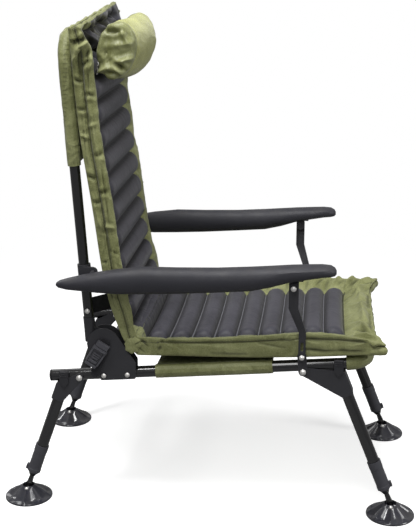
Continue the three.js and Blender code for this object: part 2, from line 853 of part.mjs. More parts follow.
// A mud foot: a fluted dome on a flat rim, hollow underneath, with two cheeks for the pin.
function mudFoot(leg) {
  const around = footFlutes * fluteSteps;
  const crown = footRadius * footCrownShare;
  const domeHeight = (share) => footRim + (footCrownHeight - footRim) * (1 - share) ** 1.15;
  // [radius, height, share of the flutes' depth]
  const rings = [
    [footRadius, 0, 0],
    [footRadius, footRim, 0],
    [crown + (footRadius - crown) * 0.88, domeHeight(0.88), 1],
    [crown + (footRadius - crown) * 0.5, domeHeight(0.5), 0.7],
    [crown, footCrownHeight, 0],
  ];
  const under = [
    [crown, footCrownHeight - footShell * 2, 0],
    [footRadius - footRimWidth, footRim / 2, 0],
    [footRadius - footRimWidth, 0, 0],
  ];
  const places = [];
  for (const [radius, height, depthShare] of [...rings, ...under]) {
    for (let i = 0; i < around; i++) {
      const angle = (2 * Math.PI * i) / around;
      const scoop = Math.abs(Math.sin((footFlutes * angle) / 2)) * fluteDepth * depthShare;
      const lowest = Math.min(height, footRim * 0.75);
      places.push(
        radius * Math.cos(angle),
        radius * Math.sin(angle),
        depthShare > 0 ? Math.max(height - scoop, lowest) : height,
      );
    }
  }
  const loops = rings.length + under.length;
  const topCentre = loops * around;
  const faces = [];
  for (let r = 0; r < loops; r++) {
    const next = (r + 1) % loops;
    if (r === rings.length - 1) continue;
    for (let i = 0; i < around; i++) {
      const j = (i + 1) % around;
      const [a, b, c, d] = [r * around + i, r * around + j, next * around + j, next * around + i];
      faces.push(a, b, c, a, c, d);
    }
  }
  places.push(0, 0, footCrownHeight, 0, 0, footCrownHeight - footShell * 2);
  const crownRing = (rings.length - 1) * around;
  const underRing = rings.length * around;
  for (let i = 0; i < around; i++) {
    const j = (i + 1) % around;
    faces.push(crownRing + i, crownRing + j, topCentre);
    faces.push(underRing + j, underRing + i, topCentre + 1);
  }
  const dome = new THREE.BufferGeometry();
  dome.setAttribute("position", new THREE.Float32BufferAttribute(places, 3));
  dome.setIndex(faces);
  dome.computeVertexNormals();
  const inner = neckHalfThickness + seatGap;
  const cheek = (side) => {
    const ends = [side * inner, side * (inner + cheekThickness)].sort((a, b) => a - b);
    return roundedPlate(
      [
        [0, footPinHeight, cheekRadius],
        [-crown / 2, footCrownHeight - footShell, footShell / 2],
        [crown / 2, footCrownHeight - footShell, footShell / 2],
      ],
      ...ends,
    );
  };
  const reach = inner + cheekThickness + overrun;
  const pinHole = crossRod(0, footPinHeight, -reach, reach, footPinRadius + pinHoleGap);
  const foot = cut(join(dome, cheek(1), cheek(-1)), pinHole);
  return foot.translate(0, leg.out * footPinY(leg), 0);
}

// Struts: pressed channels that open inwards, joggled between a lower and an upper pivot
const strutFootX = bracketOutside + seatGap + strutDepth; // outer face of the web, from the rail
const strutTopX = armrestOffset;

function strut() {
  const reach = linkRise + 2 * strutEnd;
  const startZ = strutFootHeight - strutEnd;
  const section = (half) => [
    [0, -half],
    [0, half],
    [-strutDepth, half],
    [-strutDepth, half - strutSheet],
    [-strutSheet, half - strutSheet],
    [-strutSheet, -half + strutSheet],
    [-strutDepth, -half + strutSheet],
    [-strutDepth, -half],
  ];
  const rings = strutStationShares.map((share, i) => {
    const shift = strutShiftShares[i];
    const x = strutFootX + (strutTopX - strutFootX) * shift;
    const y = strutFootY + linkRun * shift;
    const half = strutFootHalfWidth + (strutHalfWidth - strutFootHalfWidth) * shift;
    return section(half).map(([depth, across]) => point(x + depth, y + across, startZ + reach * share));
  });
  const outline = section(strutHalfWidth).map(([depth, across]) => new THREE.Vector2(depth, across));
  const body = loft(rings, outline);
  const hole = (y, z) =>
    crossRod(y, z, 0, armrestOffset + overrun, strutStudRadius + pinHoleGap);
  const slotZ = strutFootHeight + strutSlotRise;
  const slot = roundedPlate(
    [
      [strutFootY, slotZ + strutSlotWidth / 2, strutSlotWidth / 2],
      [strutFootY, slotZ + strutSlotLength - strutSlotWidth / 2, strutSlotWidth / 2],
    ],
    0,
    strutFootX + overrun,
  );
  return cut(
    body,
    hole(strutFootY, strutFootHeight),
    hole(strutTopY, strutTopHeight),
    slot,
  );
}

// A stud with a head outside the web of a strut.
function strutStud(y, z, from, web) {
  return join(
    crossRod(y, z, from, web + seatGap + rivetHead / 2, strutStudRadius),
    crossRod(y, z, web + seatGap, web + seatGap + rivetHead, rivetHeadRadius, headSides),
  );
}

function strutBracket() {
  const sheet = roundedPlate(
    [
      [frontLeg.pivotY, legPivotZ(frontLeg), strutBracketRadius],
      [strutFootY, strutFootHeight, strutBracketRadius],
    ],
    bracketInside,
    bracketOutside,
  );
  const hole = crossRod(
    frontLeg.pivotY,
    legPivotZ(frontLeg),
    bracketInside - overrun,
    bracketOutside + overrun,
    pivotRivetRadius + pinHoleGap,
  );
  const stud = strutStud(
    strutFootY,
    strutFootHeight,
    (bracketInside + bracketOutside) / 2,
    strutFootX,
  );
  return join(cut(sheet, hole), stud);
}

// Recline hinge, on the rail
function hingeBracket() {
  const skirtZ = (y, rise) => railZ(y) + rise;
  const front = hingeSkirtFrontY + hingeCorner;
  const rear = hingeSkirtRearY - hingeCorner;
  const cheek = (from, to) =>
    join(
      roundedPlate(
        [
          [hingeY, hingeHeight, hingeCapRadius],
          [front, skirtZ(front, hingeSkirtRise), hingeCorner],
          [rear, skirtZ(rear, hingeSkirtRise), hingeCorner],
        ],
        from,
        to,
      ),
      roundedPlate(
        [
          [front, skirtZ(front, hingeSkirtRise), hingeCorner],
          [rear, skirtZ(rear, hingeSkirtRise), hingeCorner],
          [front, skirtZ(front, hingeCorner - hingeSkirtDrop), hingeCorner],
          [rear, skirtZ(rear, hingeCorner - hingeSkirtDrop), hingeCorner],
        ],
        from,
        to,
      ),
    );
  const saddleBottom = railRadius + seatGap;
  const saddle = plate(
    [
      [front, skirtZ(front, saddleBottom)],
      [rear, skirtZ(rear, saddleBottom)],
      [rear, skirtZ(rear, saddleBottom + hingeSheet)],
      [front, skirtZ(front, saddleBottom + hingeSheet)],
    ],
    -hingeOutside + hingeSheet / 2,
    hingeOutside - hingeSheet / 2,
  );
  const rivet = (y) =>
    join(
      crossRod(y, railZ(y), -hingeOutside, hingeOutside, hingeRivetRadius),
      ...[-1, 1].map((side) => {
        const ends = [side * (hingeOutside - hingeSheet / 2), side * (hingeOutside + rivetHead)];
        return crossRod(y, railZ(y), ...ends.sort((a, b) => a - b), hingeRivetHeadRadius);
      }),
    );
  const pinHole = crossRod(
    hingeY,
    hingeHeight,
    -hingeOutside - overrun,
    hingeOutside + overrun,
    hingePinRadius + pinHoleGap,
  );
  const bracket = join(
    cheek(-hingeOutside, -cheekInside),
    cheek(cheekInside, hingeOutside),
    saddle,
    rivet(hingeRivetFrontY),
    rivet(hingeRivetRearY),
  );
  return cut(bracket, pinHole);
}

function hingePin() {
  const face = hingeOutside + seatGap;
  return join(
    crossRod(hingeY, hingeHeight, -face - hingePinHead / 2, face + hingePinHead / 2, hingePinRadius),
    crossRod(hingeY, hingeHeight, face, face + hingePinHead, hingePinHeadRadius, headSides),
    crossRod(hingeY, hingeHeight, -face - hingePinHead, -face, hingePinHeadRadius, headSides),
  );
}

// The arm that turns in the hinge: a notched disc with the socket of the back tube
function backArm() {
  const socketRadius = backRadius + seatGap + socketWall;
  const tubePoint = (z) => point(0, backTubeAt(z), z);
  const blade = roundedPlate(
    [
      [hingeY, hingeHeight, armDiscRadius],
      [backTubeAt(socketBottomHeight), socketBottomHeight + socketRadius, socketRadius],
      [backTubeAt(socketTopHeight), socketTopHeight - socketRadius * 2, socketRadius / 2],
    ],
    -armDiscHalfThickness,
    armDiscHalfThickness,
  );
  const socket = straightTube(tubePoint(socketBottomHeight), tubePoint(socketTopHeight), socketRadius);
  const bore = straightTube(
    tubePoint(socketBottomHeight + socketFloor),
    tubePoint(socketTopHeight + overrun),
    backRadius + seatGap,
  );
  const notches = Array.from({ length: armNotches }, (_, i) => {
    const angle = degrees(armNotchStart + (armNotchSpread * i) / (armNotches - 1));
    return crossRod(
      hingeY + armDiscRadius * Math.cos(angle),
      hingeHeight + armDiscRadius * Math.sin(angle),
      -armDiscHalfThickness - overrun,
      armDiscHalfThickness + overrun,
      armNotchRadius,
    );
  });
  const pinHole = crossRod(
    hingeY,
    hingeHeight,
    -cheekInside,
    cheekInside,
    hingePinRadius + pinHoleGap,
  );
  return cut(join(blade, socket), bore, pinHole, ...notches);
}

// Back frame
const backCorner = (x, z) => point(x, backTubeAt(z), z);
const backTubeBottom = socketBottomHeight + socketFloor + seatGap;
const backPath = (bottom) =>
  new BentPath(
    [
      backCorner(-backX, bottom),
      backCorner(-backX, backTopHeight),
      backCorner(backX, backTopHeight),
      backCorner(backX, bottom),
    ],
    backBendRadius,
  );

function backFrame() {
  const rivetHole = (x) =>
    crossRod(
      backTubeAt(lumbarStrapHeight),
      lumbarStrapHeight,
      x - backRadius - overrun,
      x + backRadius + overrun,
      lumbarRivetRadius + pinHoleGap,
    );
  return cut(
    tubeAlong(backPath(backTubeBottom), backRadius, backWall),
    rivetHole(-backX),
    rivetHole(backX),
  );
}

// The fabric sleeve over the top of the back frame, with its panel between the tubes
function backSleeve() {
  const bore = backRadius + seatGap;
  const panel = plate(
    [
      [backTubeAt(sleeveBottomHeight) - sleevePanel / 2, sleeveBottomHeight],
      [backTubeAt(sleeveBottomHeight) + sleevePanel / 2, sleeveBottomHeight],
      [backTubeAt(backTopHeight) + sleevePanel / 2, backTopHeight],
      [backTubeAt(backTopHeight) - sleevePanel / 2, backTopHeight],
    ],
    -backX + bore,
    backX - bore,
  );
  const skin = tubeAlong(backPath(sleeveBottomHeight), sleeveRadius);
  const hollow = tubeAlong(backPath(sleeveBottomHeight - overrun), bore);
  const shape = toGeometry(toSolid(panel).subtract(toSolid(sleeveOutside())));
  return cut(join(skin, shape), hollow);
}

// What lies outside the bent corners of the sleeve
function sleeveOutside() {
  const middle = backX - backBendRadius;
  const low = backTopHeight - backBendRadius;
  const deep = backPadDepth;
  const corner = (side) => {
    const block = box(
      Math.min(side * middle, side * (backX + overrun)),
      Math.max(side * middle, side * (backX + overrun)),
      backTubeY - deep,
      backTubeY + deep,
      low,
      backTopHeight + overrun,
    );
    const round = straightTube(
      point(side * middle, backTubeY - deep - overrun, low),
      point(side * middle, backTubeY + deep + overrun, low),
      backBendRadius,
    );
    return toSolid(block).subtract(toSolid(round));
  };
  return toGeometry(corner(-1).add(corner(1)));
}

// The lug that clamps round the back tube and carries the armrest's rear pivot
function armLug() {
  const ring = backRadius + seatGap + lugWall;
  const low = armPivotHeight - lugHeight / 2;
  const high = armPivotHeight + lugHeight / 2;
  const tubePoint = (z) => point(0, backTubeAt(z), z);
  const tongueEnd = ring;
  const tongueStart = tongueEnd - lugTongue;
  const body = join(
    straightTube(tubePoint(low), tubePoint(high), ring),
    roundedPlate(
      [
        [armPivotY, armPivotHeight, lugTongueRadius],
        [backTubeAt(armPivotHeight), armPivotHeight, lugTongueRadius],
      ],
      tongueStart,
      tongueEnd,
    ),
    crossRod(
      armPivotY,
      armPivotHeight,
      tongueStart,
      armrestOffset - armrestWidth / 2 + lugStudReach,
      lugStudRadius,
    ),
    crossRod(
      armPivotY,
      armPivotHeight,
      tongueStart - lugStudHead,
      tongueStart + lugTongue / 2,
      lugStudHeadRadius,
    ),
  );
  const bore = straightTube(tubePoint(low - overrun), tubePoint(high + overrun), backRadius + seatGap);
  return cut(body, bore);
}

// Armrest
function armrest() {
  const outline = Array.from({ length: armrestRingSides }, (_, i) => {
    const angle = (2 * Math.PI * i) / armrestRingSides;
    const soften = (value) => Math.sign(value) * Math.abs(value) ** armrestSquareness;
    return new THREE.Vector2(soften(Math.cos(angle)), soften(Math.sin(angle)));
  });
  const rings = armrestSectionShares.map(([share, underShare, topShare, widthShare]) => {
    const y = armrestFrontY + (armrestRearY - armrestFrontY) * share;
    const under = armrestBaseHeight + armrestHeight * underShare;
    const top = armrestBaseHeight + armrestHeight * topShare;
    const half = (armrestWidth / 2) * widthShare;
    return outline.map((dot) =>
      point(armrestOffset - dot.x * half, y, (under + top) / 2 + (dot.y * (top - under)) / 2),
    );
  });
  const body = loft(rings, outline);
  const bore = crossRod(
    armPivotY,
    armPivotHeight,
    armrestOffset - armrestWidth,
    armrestOffset - armrestWidth / 2 + lugStudReach + seatGap,
    lugStudRadius + pinHoleGap,
  );
  const seat = box(
    armrestOffset - armrestBlockWidth / 2 - seatGap,
    armrestOffset + armrestBlockWidth / 2 + seatGap,
    strutTopY - armrestBlockLength / 2 - seatGap,
    strutTopY + armrestBlockLength / 2 + seatGap,
    armrestBaseHeight,
    armrestBlockTop + seatGap,
  );
  return cut(body, bore, seat);
}

function armrestBracket() {
  const web = strutTopX - strutDepth - seatGap;
  const sheet = strutBracketSheet;
  const block = box(
    armrestOffset - armrestBlockWidth / 2,
    armrestOffset + armrestBlockWidth / 2,
    strutTopY - armrestBlockLength / 2,
    strutTopY + armrestBlockLength / 2,
    armrestBlockBottom,
    armrestBlockTop,
  );
  const lug = roundedPlate(
    [
      [strutTopY, strutTopHeight, strutBracketRadius],
      [strutTopY, armrestBlockBottom, strutBracketRadius],
    ],
    web - sheet,
    web,
  );
  const ceiling = box(
    web - sheet - overrun,
    web + overrun,
    strutTopY - armrestBlockLength,
    strutTopY + armrestBlockLength,
    armrestBlockTop,
    armrestBlockTop + armrestBlockLength,
  );
  return join(
    cut(join(block, lug), ceiling),
    strutStud(strutTopY, strutTopHeight, web - sheet / 2, strutTopX),
  );
}

// Webbing
function backPadRear(z) {
  const share = (z - backPadBottomHeight) / (backPadTopHeight - backPadBottomHeight);
  const stops = backPadCurveShares;
  const i = Math.min(
    stops.findIndex(([height]) => height >= share),
    stops.length - 1,
  );
  const [[h0, d0], [h1, d1]] = [stops[Math.max(i - 1, 0)], stops[Math.max(i, 1)]];
  const mix = (share - h0) / (h1 - h0);
  return backPadFrontY + backPadDepth * (d0 + (d1 - d0) * mix);
}

function lumbarStrap() {
  const low = lumbarStrapHeight - lumbarStrapWidth / 2;
  const front = backPadRear(low + lumbarStrapWidth) + backPadRearBulge + seatGap;
  const endX = backX - backRadius - seatGap;
  const endY = backTubeAt(lumbarStrapHeight);
  const half = strapThickness / 2;
  const outline = [
    [-endX, endY - half],
    [-lumbarStrapRun, front],
    [lumbarStrapRun, front],
    [endX, endY - half],
    [endX, endY + half],
    [lumbarStrapRun, front + strapThickness],
    [-lumbarStrapRun, front + strapThickness],
    [-endX, endY + half],
  ];
  const shape = new THREE.Shape(outline.map(([x, y]) => new THREE.Vector2(x, y)));
  const band = new THREE.ExtrudeGeometry(shape, { depth: lumbarStrapWidth, bevelEnabled: false });
  band.translate(0, 0, low);
  const rivets = [-1, 1].flatMap((side) => {
    const inside = side * (endX - strapThickness);
    const outside = side * (backX + backRadius + seatGap + rivetHead);
    const headStart = side * (backX + backRadius + seatGap);
    const span = (a, b, radius) =>
      crossRod(endY, lumbarStrapHeight, Math.min(a, b), Math.max(a, b), radius);
    return [span(inside, outside, lumbarRivetRadius), span(headStart, outside, lumbarRivetHeadRadius)];
  });
  return join(band, ...rivets);
}

// The direction of the buckle's strap, down and to the rear, as a unit (y, z) pair
function strapLine() {
  const [dy, dz] = [strapFootY - buckleTopY, strapFootHeight - buckleTopHeight];
  const length = Math.hypot(dy, dz);
  return [dy / length, dz / length];
}

const strapInside = hingeOutside + seatGap + hingePinHead + seatGap;

// A flat bar along the strap's line, between two distances from the buckle's top edge.
function alongStrap(from, to, width, corner, inside, outside) {
  const [dy, dz] = strapLine();
  const place = (along, across) => [
    buckleTopY + along * dy - across * dz,
    buckleTopHeight + along * dz + across * dy,
    corner,
  ];
  const side = width / 2 - corner;
  return roundedPlate(
    [
      place(from + corner, side),
      place(from + corner, -side),
      place(to - corner, side),
      place(to - corner, -side),
    ],
    inside,
    outside,
  );
}

function buckleStrap() {
  const length = Math.hypot(strapFootY - buckleTopY, strapFootHeight - buckleTopHeight);
  const band = alongStrap(
    -strapTail,
    length,
    buckleStrapWidth,
    strapThickness,
    strapInside,
    strapInside + strapThickness,
  );
  const foot = box(
    cheekInside,
    strapInside + strapThickness,
    strapFootY - strapFootBlock / 2,
    strapFootY + strapFootBlock / 2,
    strapFootHeight - strapFootBlock / 2,
    strapFootHeight + strapFootBlock / 2,
  );
  return join(band, foot);
}

function buckle() {
  const inside = strapInside + strapThickness + seatGap;
  const body = alongStrap(0, buckleLength, buckleWidth, buckleCorner, inside, inside + buckleThickness);
  const slot = alongStrap(
    buckleThickness,
    buckleThickness + buckleCorner,
    buckleStrapWidth,
    buckleCorner / 2,
    inside + buckleThickness / 2,
    inside + buckleThickness + overrun,
  );
  return cut(body, slot);
}

// Seat sling
function seatSling() {
  const bore = railRadius + seatGap;
  const skin = bore + slingSheet;
  const sideSkin = (side) =>
    straightTube(
      seatCorner(side * railX, slingPocketFrontY),
      seatCorner(side * railX, slingRearY),
      skin,
    );
  const frontSkin = tubeAlong(
    new BentPath(
      [
        seatCorner(-railX, slingFrontPocketY),
        seatCorner(-railX, railFrontY),
        seatCorner(railX, railFrontY),
        seatCorner(railX, slingFrontPocketY),
      ],
      railBendRadius,
    ),
    skin,
  );
  const low = slingRise - slingSheet / 2;
  const high = slingRise + slingSheet / 2;
  const sheet = (halfWidth, frontY, rearY) =>
    plate(
      [
        [frontY, railZ(frontY) + low],
        [rearY, railZ(rearY) + low],
        [rearY, railZ(rearY) + high],
        [frontY, railZ(frontY) + high],
      ],
      -halfWidth,
      halfWidth,
    );
  const whole = sheet(railX, railFrontY + overrun, slingRearY);
  const notch = (side) => {
    const inner = side * (railX - slingNotchWidth);
    const outer = side * (railX + skin + overrun);
    return box(
      Math.min(inner, outer),
      Math.max(inner, outer),
      slingFrontPocketY + seatGap,
      slingPocketFrontY - seatGap,
      0,
      railHeight * 2,
    );
  };
  const panel = cut(whole, notch(-1), notch(1));
  return cut(
    join(sideSkin(-1), sideSkin(1), frontSkin, panel),
    tubeAlong(seatPath, bore),
  );
}

// Cushions. Rows run along a cushion as shares of its length, columns across as shares of its half width.
const [ribShoulderShare, ribFootShare] = [4, 5].map((i) => padColumnShares[i]);

// The rows of a cushion: its plain borders, each halved, and the ribs between them
function ribRows(ribs, firstBorder, lastBorder) {
  const span = 1 - firstBorder - lastBorder;
  const inner = Array.from({ length: ribs * ribSteps + 1 }, (_, i) => {
    return firstBorder + (span * i) / (ribs * ribSteps);
  });
  return [0, firstBorder / 2, ...inner, 1 - lastBorder / 2, 1];
}

// How far a place on the cushion is sunk below the rim, from 0 at the edge to 1 between the borders
function sunkShare(s, t, firstBorder, lastBorder) {
  const inside = (1 - Math.abs(t)) / (1 - ribFootShare);
  return Math.min(inside, s / firstBorder, (1 - s) / lastBorder, 1);
}

// How far a rib stands up there, from 0 to 1
function ribShare(s, t, ribs, firstBorder, lastBorder) {
  const along = (s - firstBorder) / (1 - firstBorder - lastBorder);
  if (along <= 0 || along >= 1 || Math.abs(t) > ribShoulderShare) return 0;
  return Math.abs(Math.sin(Math.PI * ribs * along)) ** ribRoundness;
}

const cornerShare = (t) => Math.abs(t) ** 3;

function seatCushion() {
  const length = seatPadRearY - seatPadFrontY;
  const borders = [seatPadFrontBorder / length, seatPadRearBorder / length];
  const overFront = railRadius + slingSheet + 2 * seatGap;
  const frontEdge = railFrontY + 2 * overFront;
  const slingTop = (y) =>
    railZ(y) + (y < frontEdge ? overFront : slingRise + slingSheet / 2 + seatGap);
  const place = (s, t, side) => {
    const drawFront = seatPadFrontDrawIn * (1 - t * t) * (1 - s);
    const drawRear = seatPadRearDrawIn * (1 - t * t) * s;
    const y = seatPadFrontY + length * s + drawFront - drawRear;
    const half = seatPadHalfWidth + seatPadCornerReach * cornerShare(2 * s - 1);
    const seam = seatPadRearHeight + (seatPadFrontHeight - seatPadRearHeight) * (1 - s) ** 3;
    const tall = seatPadFrontSide + (seatPadRearSide - seatPadFrontSide) * s +
      seatPadSideSwell * Math.sin(Math.PI * (1 - s) ** 2);
    const sunk = sunkShare(s, t, ...borders);
    if (side < 0) {
      return point(t * half, y, seam + (slingTop(y) - seam) * sunk);
    }
    const rise = seatRibHeight * ribShare(s, t, seatRibs, ...borders) - seatPadSink * sunk;
    return point(t * half, y, seam + tall + rise);
  };
  return padGeometry(ribRows(seatRibs, ...borders), padColumnShares, place);
}

function backCushion() {
  const height = backPadTopHeight - backPadBottomHeight;
  const borders = [backPadBorder / height, backPadBorder / height];
  const place = (s, t, side) => {
    const z = backPadBottomHeight + height * s;
    const rear = point(0, backPadRear(z), z);
    const step = backPadBorder;
    const slope = (backPadRear(Math.min(z + step, backPadTopHeight)) -
      backPadRear(Math.max(z - step, backPadBottomHeight))) / (2 * step);
    const normal = point(0, -1, slope).normalize();
    const half = backPadHalfWidth + backPadCornerReach * cornerShare(2 * s - 1);
    const fromEnd = Math.min(s, 1 - s) * height;
    const pinch = backPadPinch * (1 - Math.min(fromEnd / backPadPinchReach, 1));
    const sunk = sunkShare(s, t, ...borders);
    const drop = backPadTopDrawIn * t ** 4 * s ** 8;
    const rib = backRibHeight * ribShare(s, t, backRibs, ...borders);
    const rise =
      side > 0
        ? backPadSide - pinch + rib - Math.min(backPadSink, backPadSide - pinch) * sunk
        : -backPadRearBulge * sunk * (1 - t * t);
    const spot = rear.addScaledVector(normal, rise);
    return point(t * half, spot.y, spot.z - drop);
  };
  return padGeometry(ribRows(backRibs, ...borders), padColumnShares, place);
}

// Headrest pillow, across the top of the back cushion
function headrestPillow() {
  const outline = Array.from({ length: pillowSides }, (_, i) => {
    const angle = (2 * Math.PI * i) / pillowSides;
    return new THREE.Vector2(Math.cos(angle), Math.sin(angle));
  });
  const tilt = degrees(pillowTilt);
  const ribFace = backPadRear(pillowHeight) - backPadSide + backPadSink - backRibHeight;
  const pillowY = ribFace + pillowNestle - pillowHalfDepth;
  const rings = Array.from({ length: pillowStations + 1 }, (_, k) => {
    const along = -Math.cos((Math.PI * k) / pillowStations);
    const swell = pillowEndShare + (1 - pillowEndShare) * Math.sqrt(Math.max(1 - along ** 4, 0));
    return outline.map((dot) => {
      const depth = dot.x * pillowHalfDepth * swell;
      const rise = dot.y * pillowHalfHeight * swell;
      return point(
        along * (pillowHalfLength - pillowEndBulge * (1 - swell)),
        pillowY + depth * Math.cos(tilt) - rise * Math.sin(tilt),
        pillowHeight + depth * Math.sin(tilt) + rise * Math.cos(tilt),
      );
    });
  });
  return loft(rings, outline);
}

// Assembly
addPiece("seat_frame", seatFrame(), blackTube);
addPiece("seat_sling", seatSling(), oliveFabric);
addPiece("seat_cushion", seatCushion(), slateFabric);
addPiece("back_frame", backFrame(), blackTube);
addPiece("back_sleeve", backSleeve(), oliveFabric);
addPiece("back_cushion", backCushion(), slateFabric);
addPiece("lumbar_strap", lumbarStrap(), webbing);
addPiece("headrest_pillow", headrestPillow(), fleece);

for (const [sideName, side] of [["left", 1], ["right", -1]]) {
  const rail = new THREE.Group();
  rail.position.x = side * railX;
  rail.scale.x = side;
  chair.add(rail);
  const add = (name, geometry, material) => addPiece(`${name}_${sideName}`, geometry, material, rail);
  add("rail_cap", railCap(), blackPlastic);
  add("hinge_bracket", hingeBracket(), blackSteel);
  add("hinge_pin", hingePin(), nickel);
  add("back_arm", backArm(), blackSteel);
  add("arm_lug", armLug(), blackSteel);
  add("armrest", armrest(), charcoalPlastic);
  add("armrest_bracket", armrestBracket(), blackSteel);
  add("strut", strut(), blackSteel);
  add("strut_bracket", strutBracket(), blackSteel);
  add("buckle_strap", buckleStrap(), webbing);
  add("buckle", buckle(), greyPlastic);
  for (const [legName, leg] of [["front", frontLeg], ["rear", rearLeg]]) {
    const addLegPiece = (name, geometry, material) => add(`${legName}_${name}`, geometry, material);
    addLegPiece("upper_leg", upperLeg(leg), blackTube);
    addLegPiece("leg_gusset", legGusset(leg), blackSteel);
    addLegPiece("leg_rivet", legRivet(leg), nickel);
    addLegPiece("leg_clip", legClip(leg), greyPlastic);
    addLegPiece("lock_collar", lockCollar(leg), blackPlastic);
    addLegPiece("lower_leg", lowerLeg(leg), blackTube);
    addLegPiece("foot", mudFoot(leg), glossPlastic);
  }
}

export default chair;
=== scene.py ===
import math

import bmesh
import bpy
import numpy as np
from mathutils import Matrix, Vector, noise
from mathutils.bvhtree import BVHTree


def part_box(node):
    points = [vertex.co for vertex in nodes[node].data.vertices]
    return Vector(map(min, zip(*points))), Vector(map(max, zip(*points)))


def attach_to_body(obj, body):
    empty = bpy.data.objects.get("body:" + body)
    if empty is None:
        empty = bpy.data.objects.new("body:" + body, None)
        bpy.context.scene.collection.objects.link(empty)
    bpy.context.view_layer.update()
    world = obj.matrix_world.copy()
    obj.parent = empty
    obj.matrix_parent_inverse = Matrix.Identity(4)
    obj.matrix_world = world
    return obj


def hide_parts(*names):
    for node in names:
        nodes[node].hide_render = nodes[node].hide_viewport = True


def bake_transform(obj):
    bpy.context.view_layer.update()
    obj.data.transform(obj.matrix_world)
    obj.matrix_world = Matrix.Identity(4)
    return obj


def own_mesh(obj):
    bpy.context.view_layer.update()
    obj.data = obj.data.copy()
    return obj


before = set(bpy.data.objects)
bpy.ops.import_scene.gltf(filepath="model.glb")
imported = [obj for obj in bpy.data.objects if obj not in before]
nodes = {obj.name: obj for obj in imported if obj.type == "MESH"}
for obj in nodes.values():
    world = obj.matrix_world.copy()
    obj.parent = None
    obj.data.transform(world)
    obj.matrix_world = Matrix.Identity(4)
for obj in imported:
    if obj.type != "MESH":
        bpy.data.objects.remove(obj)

# without a seed, noise vectors differ from run to run
noise.seed_set(7)

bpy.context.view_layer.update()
chairSides = {"left": 1.0, "right": -1.0}


def srgb(red, green, blue):
    # a colour written 0-255 as on a screen, as the linear values that nodes take
    def straight(value):
        value /= 255.0
        return value / 12.92 if value <= 0.04045 else ((value + 0.055) / 1.055) ** 2.4

    return (straight(red), straight(green), straight(blue), 1.0)


def putInScene(name, data):
    thing = bpy.data.objects.new(name, data)
    bpy.context.scene.collection.objects.link(thing)
    return thing


def aimed(place, look):
    # stands at place and looks along look
    turn = Vector(look).normalized().to_track_quat("-Z", "Y")
    return Matrix.Translation(place) @ turn.to_matrix().to_4x4()


# Camera, at the place the photograph was taken from
cameraSettings = {
    "place": (-2.3846, -0.2378, 1.1896), "look": (0.9547, 0.1029, -0.2792), "lens": 74.858, "sensor": 36.0,
    "near": 0.05, "far": 200.0,
}


def placeCamera(settings):
    data = bpy.data.cameras.new("photoCamera")
    data.sensor_width = settings["sensor"]
    data.lens = settings["lens"]
    data.clip_start = settings["near"]
    data.clip_end = settings["far"]
    camera = putInScene("photoCamera", data)
    camera.matrix_world = aimed(settings["place"], settings["look"])
    bpy.context.scene.camera = camera


# Soft boxes: place, aim, size and power
studioSettings = {
    "strip": {"place": (-0.45, 0.35, 2.7), "aim": (0.0, 0.05, 0.4), "size": (0.3, 2.0), "watts": 50.0},
    "broad": {"place": (-1.7, 0.0, 2.5), "aim": (0.0, 0.0, 0.45), "size": (0.7, 2.2), "watts": 30.0},
    "front": {"place": (-0.6, -2.5, 1.9), "aim": (0.0, 0.0, 0.5), "size": (0.8, 0.8), "watts": 26.0},
    "behind": {"place": (1.9, 1.8, 2.0), "aim": (0.0, 0.1, 0.6), "size": (1.2, 1.4), "watts": 14.0},
}


def lightStudio(settings):
    for name, box in settings.items():
        data = bpy.data.lights.new(name + "Box", "AREA")
        data.shape = "RECTANGLE"
        data.size, data.size_y = box["size"]
        data.energy = box["watts"]
        lamp = putInScene(name + "Box", data)
        lamp.matrix_world = aimed(box["place"], Vector(box["aim"]) - Vector(box["place"]))


# Short ways to make the nodes that repeat
def wire(tree, pairs):
    for source, target in pairs:
        tree.links.new(source, target)


def feed(tree, value, socket):
    # a plain value is set on the socket, an output is linked to it
    if isinstance(value, (int, float, tuple)):
        socket.default_value = value
    else:
        tree.links.new(value, socket)


def mathNode(tree, operation, *values):
    node = tree.nodes.new("ShaderNodeMath")
    node.operation = operation
    for slot, value in enumerate(values):
        feed(tree, value, node.inputs[slot])
    return node.outputs[0]


def times(tree, first, second):
    return mathNode(tree, "MULTIPLY", first, second)


def plus(tree, first, second):
    return mathNode(tree, "ADD", first, second)


def noiseNode(tree, vector, scale, detail=2.0, roughness=0.5, distortion=0.0):
    node = tree.nodes.new("ShaderNodeTexNoise")
    for label, value in (("Vector", vector), ("Scale", scale), ("Detail", detail), ("Roughness", roughness),
                         ("Distortion", distortion)):
        feed(tree, value, node.inputs[label])
    return node.outputs["Fac"]


def rangeNode(tree, value, low, high, toLow=0.0, toHigh=1.0):
    node = tree.nodes.new("ShaderNodeMapRange")
    for label, amount in (("Value", value), ("From Min", low), ("From Max", high), ("To Min", toLow),
                          ("To Max", toHigh)):
        feed(tree, amount, node.inputs[label])
    return node.outputs[0]


def mixColors(tree, factor, first, second):
    node = tree.nodes.new("ShaderNodeMix")
    node.data_type = "RGBA"
    for slot, value in ((0, factor), (6, first), (7, second)):
        feed(tree, value, node.inputs[slot])
    return node.outputs[2]


def axes(tree, vector):
    node = tree.nodes.new("ShaderNodeSeparateXYZ")
    tree.links.new(vector, node.inputs[0])
    return node.outputs


backdropSettings = {"ambient": 0.15, "gloss": 0.34, "reach": 40.0, "nearRadius": 0.9, "farRadius": 2.1,
                    "lift": 0.52, "bounce": 0.3, "paper": 0.9, "farGlow": 0.25, "fibre": 900.0, "fibreDepth": 0.0001}
white = (1.0, 1.0, 1.0, 1.0)


